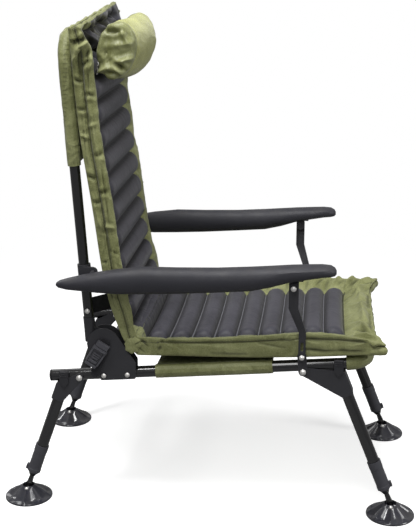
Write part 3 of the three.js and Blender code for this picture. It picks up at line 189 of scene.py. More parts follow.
def whiteAir(settings):
    # white where the camera sees it, softer in a gloss and as light on the object
    world = bpy.data.worlds.new("whiteAir")
    world.use_nodes = True
    tree = world.node_tree
    tree.nodes.clear()
    out = tree.nodes.new("ShaderNodeOutputWorld")
    path = tree.nodes.new("ShaderNodeLightPath")
    plain = tree.nodes.new("ShaderNodeBackground")
    plain.inputs["Color"].default_value = white
    strength = settings["ambient"]
    for ray, level in (("Is Camera Ray", 1.0), ("Is Transmission Ray", 1.0), ("Is Glossy Ray", settings["gloss"])):
        strength = mathNode(tree, "MAXIMUM", times(tree, path.outputs[ray], level), strength)
    wire(tree, [(strength, plain.inputs["Strength"]), (plain.outputs[0], out.inputs["Surface"])])
    bpy.context.scene.world = world


def paleFloor(settings):
    # white paper that keeps the chair's own shadow near it and runs out into plain white
    reach = settings["reach"]
    mesh = bpy.data.meshes.new("paperFloor")
    mesh.from_pydata([(x, y, 0.0) for x, y in ((-reach, -reach), (reach, -reach), (reach, reach), (-reach, reach))],
                     [], [(0, 1, 2, 3)])
    floor = putInScene("paperFloor", mesh)
    paper = bpy.data.materials.new("floorPaper")
    paper.use_nodes = True
    tree = paper.node_tree
    tree.nodes.clear()
    out = tree.nodes.new("ShaderNodeOutputMaterial")
    place = tree.nodes.new("ShaderNodeTexCoord").outputs["Object"]
    seen = tree.nodes.new("ShaderNodeLightPath").outputs["Is Camera Ray"]
    away = tree.nodes.new("ShaderNodeVectorMath")
    away.operation = "LENGTH"
    tree.links.new(place, away.inputs[0])
    fade = rangeNode(tree, away.outputs["Value"], settings["nearRadius"], settings["farRadius"])
    fade.node.interpolation_type = "SMOOTHERSTEP"
    bump = tree.nodes.new("ShaderNodeBump")
    bump.inputs["Distance"].default_value = settings["fibreDepth"]
    matte = tree.nodes.new("ShaderNodeBsdfDiffuse")
    bounced, bright = ((settings[key],) * 3 + (1.0,) for key in ("bounce", "paper"))
    near = tree.nodes.new("ShaderNodeAddShader")
    glow, far = tree.nodes.new("ShaderNodeEmission"), tree.nodes.new("ShaderNodeEmission")
    glow.inputs["Color"].default_value = far.inputs["Color"].default_value = white
    mix = tree.nodes.new("ShaderNodeMixShader")
    wire(tree, [
        (noiseNode(tree, place, settings["fibre"]), bump.inputs["Height"]), (bump.outputs[0], matte.inputs["Normal"]),
        (mixColors(tree, seen, bounced, bright), matte.inputs["Color"]),
        (times(tree, seen, settings["lift"]), glow.inputs["Strength"]),
        (rangeNode(tree, seen, 0.0, 1.0, settings["farGlow"]), far.inputs["Strength"]),
        (matte.outputs[0], near.inputs[0]), (glow.outputs[0], near.inputs[1]), (fade, mix.inputs[0]),
        (near.outputs[0], mix.inputs[1]), (far.outputs[0], mix.inputs[2]), (mix.outputs[0], out.inputs["Surface"]),
    ])
    mesh.materials.append(paper)


placeCamera(cameraSettings)
lightStudio(studioSettings)
whiteAir(backdropSettings)
paleFloor(backdropSettings)
bpy.context.scene.view_settings.view_transform = "Standard"
print("stage 1: camera, soft boxes and floor are up")


# Effects that several finishes share
def startGroup(name, inputs, outputs):
    tree = bpy.data.node_groups.new(name, "ShaderNodeTree")
    for label, value in inputs.items():
        kind = "NodeSocketVector" if isinstance(value, tuple) else "NodeSocketFloat"
        if isinstance(value, tuple) and len(value) == 4:
            kind = "NodeSocketColor"
        socket = tree.interface.new_socket(label, in_out="INPUT", socket_type=kind)
        socket.default_value = value
    for label, kind in outputs.items():
        tree.interface.new_socket(label, in_out="OUTPUT", socket_type="NodeSocket" + kind)
    return tree, tree.nodes.new("NodeGroupInput"), tree.nodes.new("NodeGroupOutput")


def wovenCloth():
    # threads over and under, slubs in them, and soft creases over a hand's width
    tree, given, made = startGroup(
        "wovenCloth",
        {"Place": (0.0, 0.0, 0.0), "Threads": 1400.0, "Creases": 30.0, "Crease Depth": 0.5, "Slub": 0.3},
        {"Height": "Float", "Shade": "Float"},
    )
    place, threads, creases = (given.outputs[label] for label in ("Place", "Threads", "Creases"))
    x, y, z = axes(tree, place)
    warp = mathNode(tree, "SINE", times(tree, plus(tree, x, y), threads))
    weft = mathNode(tree, "SINE", times(tree, mathNode(tree, "SUBTRACT", z, y), threads))
    slubs = noiseNode(tree, place, times(tree, threads, 0.16))
    fine = plus(tree, times(tree, times(tree, warp, weft), 0.004), times(tree, slubs, given.outputs["Slub"]))
    # crest lines of two sizes, where stiff cloth has been crushed
    broad = noiseNode(tree, place, creases, 1.5, 0.5, 1.1)
    small = noiseNode(tree, place, times(tree, creases, 2.6), 2.0, 0.5, 0.7)
    crests = [mathNode(tree, "SUBTRACT", 0.5, mathNode(tree, "ABSOLUTE", mathNode(tree, "SUBTRACT", field, 0.5)))
              for field in (broad, small)]
    fold = plus(tree, crests[0], times(tree, crests[1], 0.35))
    height = plus(tree, fine, times(tree, times(tree, fold, given.outputs["Crease Depth"]), 2.0))
    patch = noiseNode(tree, place, 9.0, 3.0)
    # the shade mixes random patches and slubs with painted light on the crease crests and painted shade between them
    shade = plus(tree, times(tree, patch, 0.45), plus(tree, times(tree, slubs, 0.3), times(tree, fold, 0.42)))
    wire(tree, [(height, made.inputs["Height"]), (shade, made.inputs["Shade"])])
    return tree


def mouldedGrain():
    # the fine pebble of a moulding or of baked paint, with broad hand marks in its gloss
    tree, given, made = startGroup(
        "mouldedGrain", {"Place": (0.0, 0.0, 0.0), "Pebble": 1600.0, "Marks": 26.0},
        {"Height": "Float", "Gloss": "Float", "Shade": "Float"},
    )
    place = given.outputs["Place"]
    pebble = noiseNode(tree, place, given.outputs["Pebble"], 2.0, 0.6)
    marks = noiseNode(tree, place, given.outputs["Marks"], 5.0, 0.62, 0.4)
    broad = noiseNode(tree, place, 7.0)
    wire(tree, [
        (pebble, made.inputs["Height"]), (rangeNode(tree, marks, 0.35, 0.7), made.inputs["Gloss"]),
        (plus(tree, times(tree, broad, 0.6), times(tree, pebble, 0.4)), made.inputs["Shade"]),
    ])
    return tree


def bankDust():
    # fine dust that lies on what faces up and in the corners of the noise
    tree, given, made = startGroup("bankDust", {"Place": (0.0, 0.0, 0.0), "Amount": 0.2}, {"Dust": "Float"})
    face = tree.nodes.new("ShaderNodeNewGeometry")
    up = rangeNode(tree, axes(tree, face.outputs["Normal"])["Z"], 0.1, 1.0)
    patch = rangeNode(tree, noiseNode(tree, given.outputs["Place"], 34.0, 5.0, 0.65), 0.4, 0.75)
    tree.links.new(times(tree, times(tree, up, patch), given.outputs["Amount"]), made.inputs["Dust"])
    return tree


groups = {"cloth": wovenCloth(), "grain": mouldedGrain(), "dust": bankDust()}


def startFinish(name):
    finish = bpy.data.materials.new(name)
    finish.use_nodes = True
    tree = finish.node_tree
    return finish, tree, tree.nodes["Principled BSDF"], tree.nodes.new("ShaderNodeTexCoord").outputs["Object"]


def useGroup(tree, key, place, **values):
    node = tree.nodes.new("ShaderNodeGroup")
    node.node_tree = groups[key]
    tree.links.new(place, node.inputs["Place"])
    for label, value in values.items():
        node.inputs[label.replace("_", " ")].default_value = value
    return node


def bumpFrom(tree, shader, height, distance):
    bump = tree.nodes.new("ShaderNodeBump")
    bump.inputs["Distance"].default_value = distance
    wire(tree, [(height, bump.inputs["Height"]), (bump.outputs[0], shader.inputs["Normal"])])


def clothSheen(shader, shine, sheen, rough):
    shader.inputs["Specular IOR Level"].default_value = shine
    shader.inputs["Sheen Weight"].default_value = sheen
    shader.inputs["Sheen Roughness"].default_value = rough


# Paint, steel and plastics: base and light colour, roughness low and high, pebbles per metre and their depth,
# dust, shine, and for some metal or a clear coat
hardSettings = {
    "railPaint": {"base": srgb(15, 15, 17), "light": srgb(26, 26, 29), "rough": (0.12, 0.22), "coat": 0.6,
                  "pebble": 900.0, "depth": 0.00005, "dust": 0.06, "shine": 0.5},
    "plateCoat": {"base": srgb(46, 46, 49), "light": srgb(68, 68, 72), "rough": (0.34, 0.48),
                  "pebble": 1500.0, "depth": 0.0001, "dust": 0.07, "shine": 0.24},
    "rivetNickel": {"base": srgb(226, 224, 220), "light": srgb(246, 245, 242), "rough": (0.38, 0.5), "metal": 0.75,
                    "pebble": 700.0, "depth": 0.00003, "dust": 0.0, "shine": 0.5},
    "armrestPlastic": {"base": srgb(42, 42, 47), "light": srgb(56, 56, 62), "rough": (0.46, 0.6),
                       "pebble": 1900.0, "depth": 0.0002, "dust": 0.08, "shine": 0.3},
    "collarPlastic": {"base": srgb(62, 62, 67), "light": srgb(84, 84, 90), "rough": (0.42, 0.55),
                      "pebble": 1700.0, "depth": 0.00012, "dust": 0.07, "shine": 0.3},
    "capPlastic": {"base": srgb(22, 22, 24), "light": srgb(34, 34, 37), "rough": (0.4, 0.55),
                   "pebble": 1500.0, "depth": 0.0001, "dust": 0.06, "shine": 0.28},
    "footPlastic": {"base": srgb(34, 34, 40), "light": srgb(62, 63, 72), "rough": (0.1, 0.2), "coat": 0.25,
                    "pebble": 800.0, "depth": 0.00005, "dust": 0.14, "shine": 0.5},
    "clipPlastic": {"base": srgb(36, 36, 39), "light": srgb(56, 56, 60), "rough": (0.34, 0.5),
                    "pebble": 1500.0, "depth": 0.0001, "dust": 0.08, "shine": 0.35},
    "bucklePlastic": {"base": srgb(60, 60, 65), "light": srgb(92, 92, 98), "rough": (0.3, 0.45),
                      "pebble": 1500.0, "depth": 0.00008, "dust": 0.05, "shine": 0.4},
}
dustColor = srgb(138, 132, 116)
dustMatte, coatRough = 0.6, 0.06


def hardFinish(name, settings):
    finish, tree, shader, place = startFinish(name)
    grain = useGroup(tree, "grain", place, Pebble=settings["pebble"])
    dust = useGroup(tree, "dust", place, Amount=settings["dust"]).outputs["Dust"]
    body = mixColors(tree, grain.outputs["Shade"], settings["base"], settings["light"])
    gloss = rangeNode(tree, grain.outputs["Gloss"], 0.0, 1.0, *settings["rough"])
    wire(tree, [(mixColors(tree, dust, body, dustColor), shader.inputs["Base Color"]),
                (plus(tree, gloss, times(tree, dust, dustMatte)), shader.inputs["Roughness"])])
    bumpFrom(tree, shader, grain.outputs["Height"], settings["depth"])
    shader.inputs["Metallic"].default_value = settings.get("metal", 0.0)
    shader.inputs["Specular IOR Level"].default_value = settings["shine"]
    if "coat" in settings:
        shader.inputs["Coat Weight"].default_value = settings["coat"]
        shader.inputs["Coat Roughness"].default_value = coatRough
    return finish


# Cloths: shadow, body and light colour, threads and creases per metre, bump depth, sheen
clothSettings = {
    "oliveNylon": {"dark": srgb(76, 79, 44), "body": srgb(116, 119, 76), "light": srgb(150, 153, 108),
                   "rough": 0.4, "Threads": 2600.0, "Creases": 15.0, "Crease_Depth": 0.42, "Slub": 0.012,
                   "depth": 0.009, "sheen": 0.08, "shine": 0.42},
    "slatePolyester": {"dark": srgb(32, 31, 36), "body": srgb(51, 50, 57), "light": srgb(68, 67, 75),
                       "rough": 0.46, "Threads": 2600.0, "Creases": 20.0, "Crease_Depth": 0.3, "Slub": 0.05,
                       "depth": 0.002, "sheen": 0.1, "shine": 0.34},
    "strapWebbing": {"dark": srgb(18, 18, 20), "body": srgb(32, 32, 35), "light": srgb(52, 52, 56),
                     "rough": 0.75, "Threads": 2200.0, "Creases": 20.0, "Crease_Depth": 0.15, "Slub": 0.4,
                     "depth": 0.0006, "sheen": 0.2, "shine": 0.2},
    "threadOlive": {"dark": srgb(58, 60, 34), "body": srgb(84, 87, 54), "light": srgb(108, 110, 74),
                    "rough": 0.6, "Threads": 5200.0, "Creases": 60.0, "Crease_Depth": 0.1, "Slub": 0.3,
                    "depth": 0.0002, "sheen": 0.1, "shine": 0.3},
    "slingNylon": {"dark": srgb(80, 83, 48), "body": srgb(114, 117, 76), "light": srgb(144, 147, 104),
                   "rough": 0.48, "Threads": 2400.0, "Creases": 18.0, "Crease_Depth": 0.6, "Slub": 0.015,
                   "depth": 0.006, "sheen": 0.12, "shine": 0.28},
}


def threeTones(tree, shade, settings, lowBand, highBand):
    deep = mixColors(tree, rangeNode(tree, shade, *lowBand), settings["dark"], settings["body"])
    return mixColors(tree, rangeNode(tree, shade, *highBand), deep, settings["light"])


def useCloth(tree, place, cloth):
    # the cloth's colour, height and shade
    labels = {key: cloth[key] for key in ("Threads", "Creases", "Crease_Depth", "Slub")}
    node = useGroup(tree, "cloth", place, **labels)
    shade = node.outputs["Shade"]
    return threeTones(tree, shade, cloth, (0.3, 0.56), (0.54, 0.76)), node.outputs["Height"], shade


def clothFinish(name, settings):
    finish, tree, shader, place = startFinish(name)
    colour, height, shade = useCloth(tree, place, settings)
    rough = settings["rough"]
    wire(tree, [(colour, shader.inputs["Base Color"]),
                (rangeNode(tree, shade, 0.3, 0.8, rough + 0.08, rough - 0.06), shader.inputs["Roughness"])])
    bumpFrom(tree, shader, height, settings["depth"])
    clothSheen(shader, settings["shine"], settings["sheen"], 0.45)
    return finish


# Brushed fleece: fine cords round the pillow and a soft nap between them
fleeceSettings = {"dark": srgb(118, 119, 58), "body": srgb(161, 163, 92), "light": srgb(191, 193, 120),
                  "cords": 1250.0, "nap": 900.0, "depth": 0.0007, "sheen": 0.35, "shine": 0.15}


def fleeceFinish(name, settings):
    finish, tree, shader, place = startFinish(name)
    wander = noiseNode(tree, place, 14.0)
    across = plus(tree, axes(tree, place)["X"], times(tree, wander, 0.006))
    cord = mathNode(tree, "SINE", times(tree, across, settings["cords"]))
    nap = noiseNode(tree, place, settings["nap"], 4.0, 0.7)
    patch = noiseNode(tree, place, 22.0, 3.0, 0.6)
    height = plus(tree, times(tree, cord, 0.5), nap)
    shade = plus(tree, times(tree, height, 0.4), times(tree, patch, 0.6))
    wire(tree, [(threeTones(tree, shade, settings, (0.2, 0.5), (0.5, 0.8)), shader.inputs["Base Color"]),
                (rangeNode(tree, nap, 0.3, 0.7, 0.95, 0.8), shader.inputs["Roughness"])])
    bumpFrom(tree, shader, height, settings["depth"])
    clothSheen(shader, settings["shine"], settings["sheen"], 0.6)
    return finish


# Cushion cover: olive border and slate ribs, coloured by measures that the piece's mesh carries. "panel" is how
# far inside the ribbed panel a place is and "seam" how far from the nearest seam, in metres. Three more run from
# 0 to 1: "valley" between two ribs, one in folds and creases, and one on the piping between two ribs. The first two
#         bring painted shade, the third a painted highlight
quiltSettings = {"border": "oliveNylon", "ribs": "slatePolyester", "depth": 0.009, "shadow": srgb(10, 10, 12),
                 "thread": srgb(38, 40, 24), "piping": srgb(118, 118, 124), "seamWidth": 0.0026, "groove": 0.25,
                 "shine": 0.28, "sheen": 0.12}


def measure(tree, name):
    node = tree.nodes.new("ShaderNodeAttribute")
    node.attribute_name = name
    return node.outputs["Fac"]


def quiltFinish(name, settings):
    finish, tree, shader, place = startFinish(name)
    inside = rangeNode(tree, measure(tree, "panel"), -0.0006, 0.0006)
    seam = rangeNode(tree, measure(tree, "seam"), 0.0005, settings["seamWidth"])
    colours, heights = [], []
    for key in ("border", "ribs"):
        cloth = clothSettings[settings[key]]
        colour, height, shade = useCloth(tree, place, cloth)
        colours.append(colour)
        heights.append(times(tree, height, cloth["depth"] / settings["depth"]))
    dip = measure(tree, "dip")
    # painted shade: the slate ribs turn near black in the valleys between them and in folds and creases
    deep = rangeNode(tree, mathNode(tree, "MAXIMUM", measure(tree, "valley"), dip), 0.1, 0.9, 0.0, 0.95)
    # painted shade: the olive border darkens towards the thread colour in folds, slits and creases
    shadedBorder = mixColors(tree, rangeNode(tree, dip, 0.2, 1.0, 0.0, 0.8), colours[0], settings["thread"])
    ribs = mixColors(tree, deep, colours[1], settings["shadow"])
    # painted highlight along the piping in each valley between two ribs
    edge = rangeNode(tree, measure(tree, "piping"), 0.66, 0.9, 0.0, 0.8)
    body = mixColors(tree, inside, shadedBorder, mixColors(tree, edge, ribs, settings["piping"]))
    # a dark line along each seam: the thread's colour, partly painted shade in the seam's groove
    stitched = mixColors(tree, rangeNode(tree, seam, 0.0, 1.0, 0.35), settings["thread"], body)
    wire(tree, [(stitched, shader.inputs["Base Color"]),
                (rangeNode(tree, inside, 0.0, 1.0, 0.58, 0.52), shader.inputs["Roughness"])])
    step = times(tree, inside, mathNode(tree, "SUBTRACT", heights[1], heights[0]))
    bumpFrom(tree, shader, plus(tree, plus(tree, heights[0], step), times(tree, seam, settings["groove"])),
             settings["depth"])
    clothSheen(shader, settings["shine"], settings["sheen"], 0.45)
    return finish


finishes = {name: hardFinish(name, settings) for name, settings in hardSettings.items()}
finishes.update({name: clothFinish(name, settings) for name, settings in clothSettings.items()})
finishes["pillowFleece"] = fleeceFinish("pillowFleece", fleeceSettings)
finishes["cushionQuilt"] = quiltFinish("cushionQuilt", quiltSettings)

# Which finish each CAD piece takes, by its plain name
pieceFinishes = {
    "seat_frame": "railPaint", "back_frame": "railPaint", "upper_leg": "railPaint", "lower_leg": "railPaint",
    "hinge_bracket": "plateCoat", "back_arm": "plateCoat", "arm_lug": "plateCoat", "armrest_bracket": "plateCoat",
    "strut": "plateCoat", "strut_bracket": "plateCoat", "leg_gusset": "plateCoat",
    "hinge_pin": "plateCoat", "leg_rivet": "rivetNickel", "leg_clip": "clipPlastic",
    "lock_collar": "collarPlastic", "foot": "footPlastic", "rail_cap": "capPlastic",
    "armrest": "armrestPlastic", "buckle": "bucklePlastic", "buckle_strap": "strapWebbing",
    "lumbar_strap": "strapWebbing", "seat_sling": "slingNylon", "back_sleeve": "slingNylon",
    "seat_cushion": "slatePolyester", "back_cushion": "slatePolyester", "headrest_pillow": "pillowFleece",
}


def plainName(node):
    base = node.replace("_left", "").replace("_right", "")
    for leg in ("front_", "rear_"):
        if base.startswith(leg):
            base = base[len(leg):]
    return base


def shadeSmooth(mesh):
    mesh.polygons.foreach_set("use_smooth", [True] * len(mesh.polygons))


def crease(piece, degrees):
    # edges sharper than this stay crisp
    piece.modifiers.new("crease", "EDGE_SPLIT").split_angle = math.radians(degrees)


bevelWidths = {"hinge_bracket": 0.0007, "back_arm": 0.0007, "strut": 0.0005, "leg_gusset": 0.0006,
               "leg_clip": 0.0006, "rail_cap": 0.0008, "arm_lug": 0.0006}
weldGap = 0.00002


def dressNode(name, node):
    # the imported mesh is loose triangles: weld it for the eye and keep the real edges crisp
    base = plainName(name)
    finish = finishes[pieceFinishes[base]]
    if node.material_slots:
        for slot in node.material_slots:
            slot.material = finish
    else:
        node.data.materials.append(finish)
    shadeSmooth(node.data)
    node.modifiers.new("weld", "WELD").merge_threshold = weldGap
    if base in bevelWidths:
        bevel = node.modifiers.new("rounded", "BEVEL")
        bevel.limit_method = "ANGLE"
        bevel.angle_limit = math.radians(50.0)
        bevel.width = bevelWidths[base]
        bevel.segments = 1
        bevel.use_clamp_overlap = True
    crease(node, 38.0)


for name, node in nodes.items():
    dressNode(name, node)
print("stage 2: the frame's pieces have their finishes")


def facesOut(mesh):
    work = bmesh.new()
    work.from_mesh(mesh)
    bmesh.ops.recalc_face_normals(work, faces=work.faces)
    work.to_mesh(mesh)
    work.free()


def newPiece(name, places, faces, finishNames=()):
    mesh = bpy.data.meshes.new(name)
    mesh.from_pydata([tuple(place) for place in places], [], faces)
    piece = putInScene(name, mesh)
    for finish in finishNames:
        mesh.materials.append(finishes[finish])
    shadeSmooth(mesh)
    facesOut(mesh)
    return piece


def attach(piece, body, replaced=None):
    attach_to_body(piece, body)
    if replaced:
        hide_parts(replaced)


def ringFaces(rows, around):
    # quads between closed rings of points
    return [(row * around + k, (row + 1) * around + k, (row + 1) * around + (k + 1) % around,
             row * around + (k + 1) % around) for row in range(rows) for k in range(around)]


def coordinates(mesh):
    flat = np.zeros(len(mesh.vertices) * 3)
    mesh.vertices.foreach_get("co", flat)
    return flat.reshape(-1, 3)


def normals(mesh):
    flat = np.zeros(len(mesh.vertices) * 3)
    mesh.vertices.foreach_get("normal", flat)
    return flat.reshape(-1, 3)


def moveTo(mesh, places):
    mesh.vertices.foreach_set("co", np.asarray(places, float).ravel())
    mesh.update()


def ripple(x, y, seed):
    # soft folds from -1 to 1
    value, size, total = 0.0, 1.0, 0.0
    for step in range(3):
        value += size * noise.noise(Vector((x * 2 ** step, y * 2 ** step, seed + 7.3 * step)))
        total += size
        size *= 0.5
    return value / total * 1.6


def between(start, end, share):
    return start + (end - start) * share


def smooth(value):
    value = min(max(value, 0.0), 1.0)
    return value * value * (3.0 - 2.0 * value)


def unit(values):
    return np.clip(values, 0.0, 1.0)


def foldField(across, along, folds):
    # sharp folds in stiff cloth: both ends of each, width, height (a slit where it is negative)
    total = np.zeros(len(across))
    for startX, startY, endX, endY, width, tall in folds:
        runX, runY = endX - startX, endY - startY
        share = ((across - startX) * runX + (along - startY) * runY) / (runX * runX + runY * runY)
        held = unit(share)
        away = np.hypot(across - startX - held * runX, along - startY - held * runY) / width
        crest = np.maximum(1.0 - away, 0.0) ** 1.2 - 0.3 * np.exp(-((away - 1.8) ** 2) * 1.6)
        total += tall * crest * (0.35 + 0.65 * np.sqrt(np.maximum(4.0 * held * (1.0 - held), 0.0)))
    return total


def crumple(place, wide, seed):
    # crossing crest lines that stiff cloth keeps when it has been crushed
    spot = Vector(place) / wide + Vector((seed, 0.0, -seed))
    spot += 0.45 * noise.noise_vector(spot * 0.7)
    crest = 0.30 - abs(noise.noise(spot))
    return crest + 0.4 * (0.30 - abs(noise.noise(spot * 2.3 + Vector((7.1, 3.3, 0.0)))))


def crumpled(places, settings):
    return np.array([crumple(place, settings["crushWide"], settings["seed"]) for place in places])


shareNames = ("rowShare", "columnShare", "levelShare")


def shares(mesh, name):
    values = np.zeros(len(mesh.vertices))
    mesh.attributes[name].data.foreach_get("value", values)
    return values


def layFolds(piece, height, widest, free):
    # moves each vertex along its normal by height(places, row share, column share, level); the sides stay
    # within widest, beside the arms and struts, except where free(places) grows to 1
    mesh = piece.data
    places, out = coordinates(mesh), normals(mesh)
    measures = [shares(mesh, name) for name in shareNames]
    moved = places + out * height(places, *measures)[:, None]
    give = 0.007
    start = widest - give + 0.03 * unit(free(moved))
    over = np.maximum(np.abs(moved[:, 0]) - start, 0.0)
    moved[:, 0] = np.sign(moved[:, 0]) * (np.abs(moved[:, 0]) - over + give * np.tanh(over / give))
    moveTo(mesh, moved)
    for name in shareNames:
        mesh.attributes.remove(mesh.attributes[name])


# A filled cushion on a grid: top, bottom and a wall round them. Each vertex keeps its place on the
# cushion (row share, column share, level) so that seams, dye, painted shade and highlight, and folds can be laid by
# it.
def cushionMesh(name, place, rowShares, columnShares, levels):
    rows, columns = len(rowShares), len(columnShares)
    spots = [(s, t, 1.0) for s in rowShares for t in columnShares]
    spots += [(s, t, 0.0) for s in rowShares for t in columnShares]
    ring = [(r, 0) for r in range(rows)] + [(rows - 1, c) for c in range(1, columns)]
    ring += [(r, columns - 1) for r in range(rows - 2, -1, -1)]
    ring += [(0, c) for c in range(columns - 2, 0, -1)]
    inner = [level for level in levels if 0.0 < level < 1.0]
    for level in inner:
        spots += [(rowShares[r], columnShares[c], level) for r, c in ring]
    grid = rows * columns
    faces = []
    for r in range(rows - 1):
        for c in range(columns - 1):
            a = r * columns + c
            faces.append((a, a + 1, a + 1 + columns, a + columns))
            faces.append((grid + a, grid + a + columns, grid + a + 1 + columns, grid + a + 1))
    loops = [[grid + r * columns + c for r, c in ring]]
    loops += [[2 * grid + k * len(ring) + i for i in range(len(ring))] for k in range(len(inner))]
    loops.append([r * columns + c for r, c in ring])
    for low, high in zip(loops, loops[1:]):
        for i in range(len(ring)):
            j = (i + 1) % len(ring)
            faces.append((low[i], low[j], high[j], high[i]))
    piece = newPiece(name, [place(*spot) for spot in spots], faces)
    return piece, np.array(spots), loops


swellSettings = {"frames": 20, "pressure": 4.0, "quality": 5, "stiffness": 12.0, "bending": 0.35, "growth": 0.0}


def swell(piece, pins, cap, settings):
    # air pushes the cloth out between its seams; how far a point may go is capped
    before = coordinates(piece.data)
    held = piece.vertex_groups.new(name="seams")
    for index, weight in enumerate(pins):
        if weight > 0.0:
            held.add([index], float(weight), "REPLACE")
    cloth = piece.modifiers.new("swell", "CLOTH")
    setup = cloth.settings
    setup.quality = settings["quality"]
    setup.mass = 0.2
    setup.tension_stiffness = settings["stiffness"]
    setup.compression_stiffness = settings["stiffness"]
    setup.shear_stiffness = settings["stiffness"] * 0.4
    setup.bending_stiffness = settings["bending"]
    setup.use_pressure = True
    setup.uniform_pressure_force = settings["pressure"]
    setup.effector_weights.gravity = 0.0
    setup.vertex_group_mass = "seams"
    setup.shrink_min = settings["growth"]
    cloth.point_cache.frame_start = 1
    cloth.point_cache.frame_end = settings["frames"]
    scene = bpy.context.scene
    for step in range(1, settings["frames"] + 1):
        scene.frame_set(step)
    shown = piece.evaluated_get(bpy.context.evaluated_depsgraph_get())
    after = coordinates(shown.data)
    piece.modifiers.remove(cloth)
    scene.frame_set(1)
    piece.vertex_groups.remove(held)
    move = after - before
    far = np.linalg.norm(move, axis=1, keepdims=True)
    soft = cap * np.tanh(far / cap)
    moveTo(piece.data, before + move * soft / np.maximum(far, 1e-9))


def keepShare(piece, name, values):
    attribute = piece.data.attributes.new(name, "FLOAT", "POINT")
    attribute.data.foreach_set("value", np.asarray(values, np.float32))


def subdivideOnce(piece):
    # one round of subdivision, made final
    level = piece.modifiers.new("round", "SUBSURF")
    level.levels = level.render_levels = 1
    level.boundary_smooth = "PRESERVE_CORNERS"
    shown = piece.evaluated_get(bpy.context.evaluated_depsgraph_get())
    mesh = bpy.data.meshes.new_from_object(shown)
    piece.modifiers.remove(level)
    old = piece.data
    piece.data = mesh
    bpy.data.meshes.remove(old)
    mesh.name = piece.name
    shadeSmooth(mesh)


def railZ(y):
    return 0.322 - 0.0847 * y


def spaced(start, end, count):
    return [start + (end - start) * i / count for i in range(count + 1)]


def joinShares(*runs):
    shares = list(runs[0])
    for run in runs[1:]:
        shares += run[1:]
    return shares


def fingerPanel(x, along, halfPanel, pitch, count, openStart=False, openEnd=False):
    # metres inside a panel whose ribs end in round finger tips; an open end runs on into the next cushion
    if (openStart and along <= 0.0) or (openEnd and along >= pitch * count):
        return halfPanel - pitch * 0.3 - abs(x)
    if along <= 0.0 or along >= pitch * count:
        return -max(-along, along - pitch * count, abs(x) - halfPanel)
    offset = (along / pitch) % 1.0 - 0.5
    tip = pitch * 0.5
    reach = halfPanel - tip + math.sqrt(max(tip * tip - (offset * pitch) ** 2, 0.0))
    before = 1.0 if openStart else along
    after = 1.0 if openEnd else pitch * count - along
    return min(reach - abs(x), before, after)


def sausage(along, ribs, endDistance, endRound):
    # height share of a filled rib: a half ellipse across, a quarter round at its ends
    if along <= 0.0 or along >= 1.0 or endDistance <= 0.0:
        return 0.0
    across = 2.0 * ((along * ribs) % 1.0) - 1.0
    end = min(endDistance / endRound, 1.0)
    return math.sqrt(max(1.0 - across * across, 0.0)) * math.sqrt(1.0 - (1.0 - end) ** 2)


# What both cushions share. "along" runs from 0 to 1 over the ribbed panel, "foot" is the share of the half
# width where the panel ends
tiny, valleyWidth, pleatWidth = 1e-6, 0.27, 0.0042


def panelColumns(foot):
    return joinShares(spaced(-1.0, -foot, 11), spaced(-foot, foot, 52), spaced(foot, 1.0, 11))


def halfAt(settings, s):
    return between(settings["halfWidth"], settings["cornerHalf"], abs(2.0 * s - 1.0) ** 5)


def pinWeight(s, t, level, along, ribs, foot, sewn):
    # the under side and the seams are held fast, the top's outer edge nearly so
    valley = 0.0 < along < 1.0 and abs(t) < foot and abs(along * ribs - round(along * ribs)) < 0.01
    atSide = abs(abs(t) - foot) < tiny and -0.01 < along < 1.01
    atEnd = min(abs(along), abs(along - 1.0)) < tiny and abs(t) <= foot
    if level in (0.0, sewn) or (level == 1.0 and (valley or atSide or atEnd)):
        return 1.0
    return 0.7 if level == 1.0 and (abs(t) == 1.0 or s in (0.0, 1.0)) else 0.0


def pleat(settings, along, pitch, edge):
    # the cover is drawn into a pleat behind each valley of the panel
    turn = (along * settings["ribs"] + 0.5) % 1.0 - 0.5
    return -settings["pleat"] * math.exp(-((turn * pitch / pleatWidth) ** 2)) * smooth(2.2 * edge)


def keepMeasures(piece, spots, turn, measures):
    # turn counts the ribs from the panel's start
    # the valley measure marks the line between two ribs on top, where the finish paints shade
    near = 1.0 - np.minimum(np.abs(turn - np.round(turn)) / valleyWidth, 1.0)
    keepShare(piece, "valley", np.where(spots[:, 2] == 1.0, near, 0.0))
    for name, values in list(measures.items()) + list(zip(shareNames, spots.T)):
        keepShare(piece, name, values)
    subdivideOnce(piece)


def edgeShare(s, t, foot, front, rear):
    return unit(np.minimum((1.0 - np.abs(t)) / (1.0 - foot), np.minimum(s / front, (1.0 - s) / rear)))


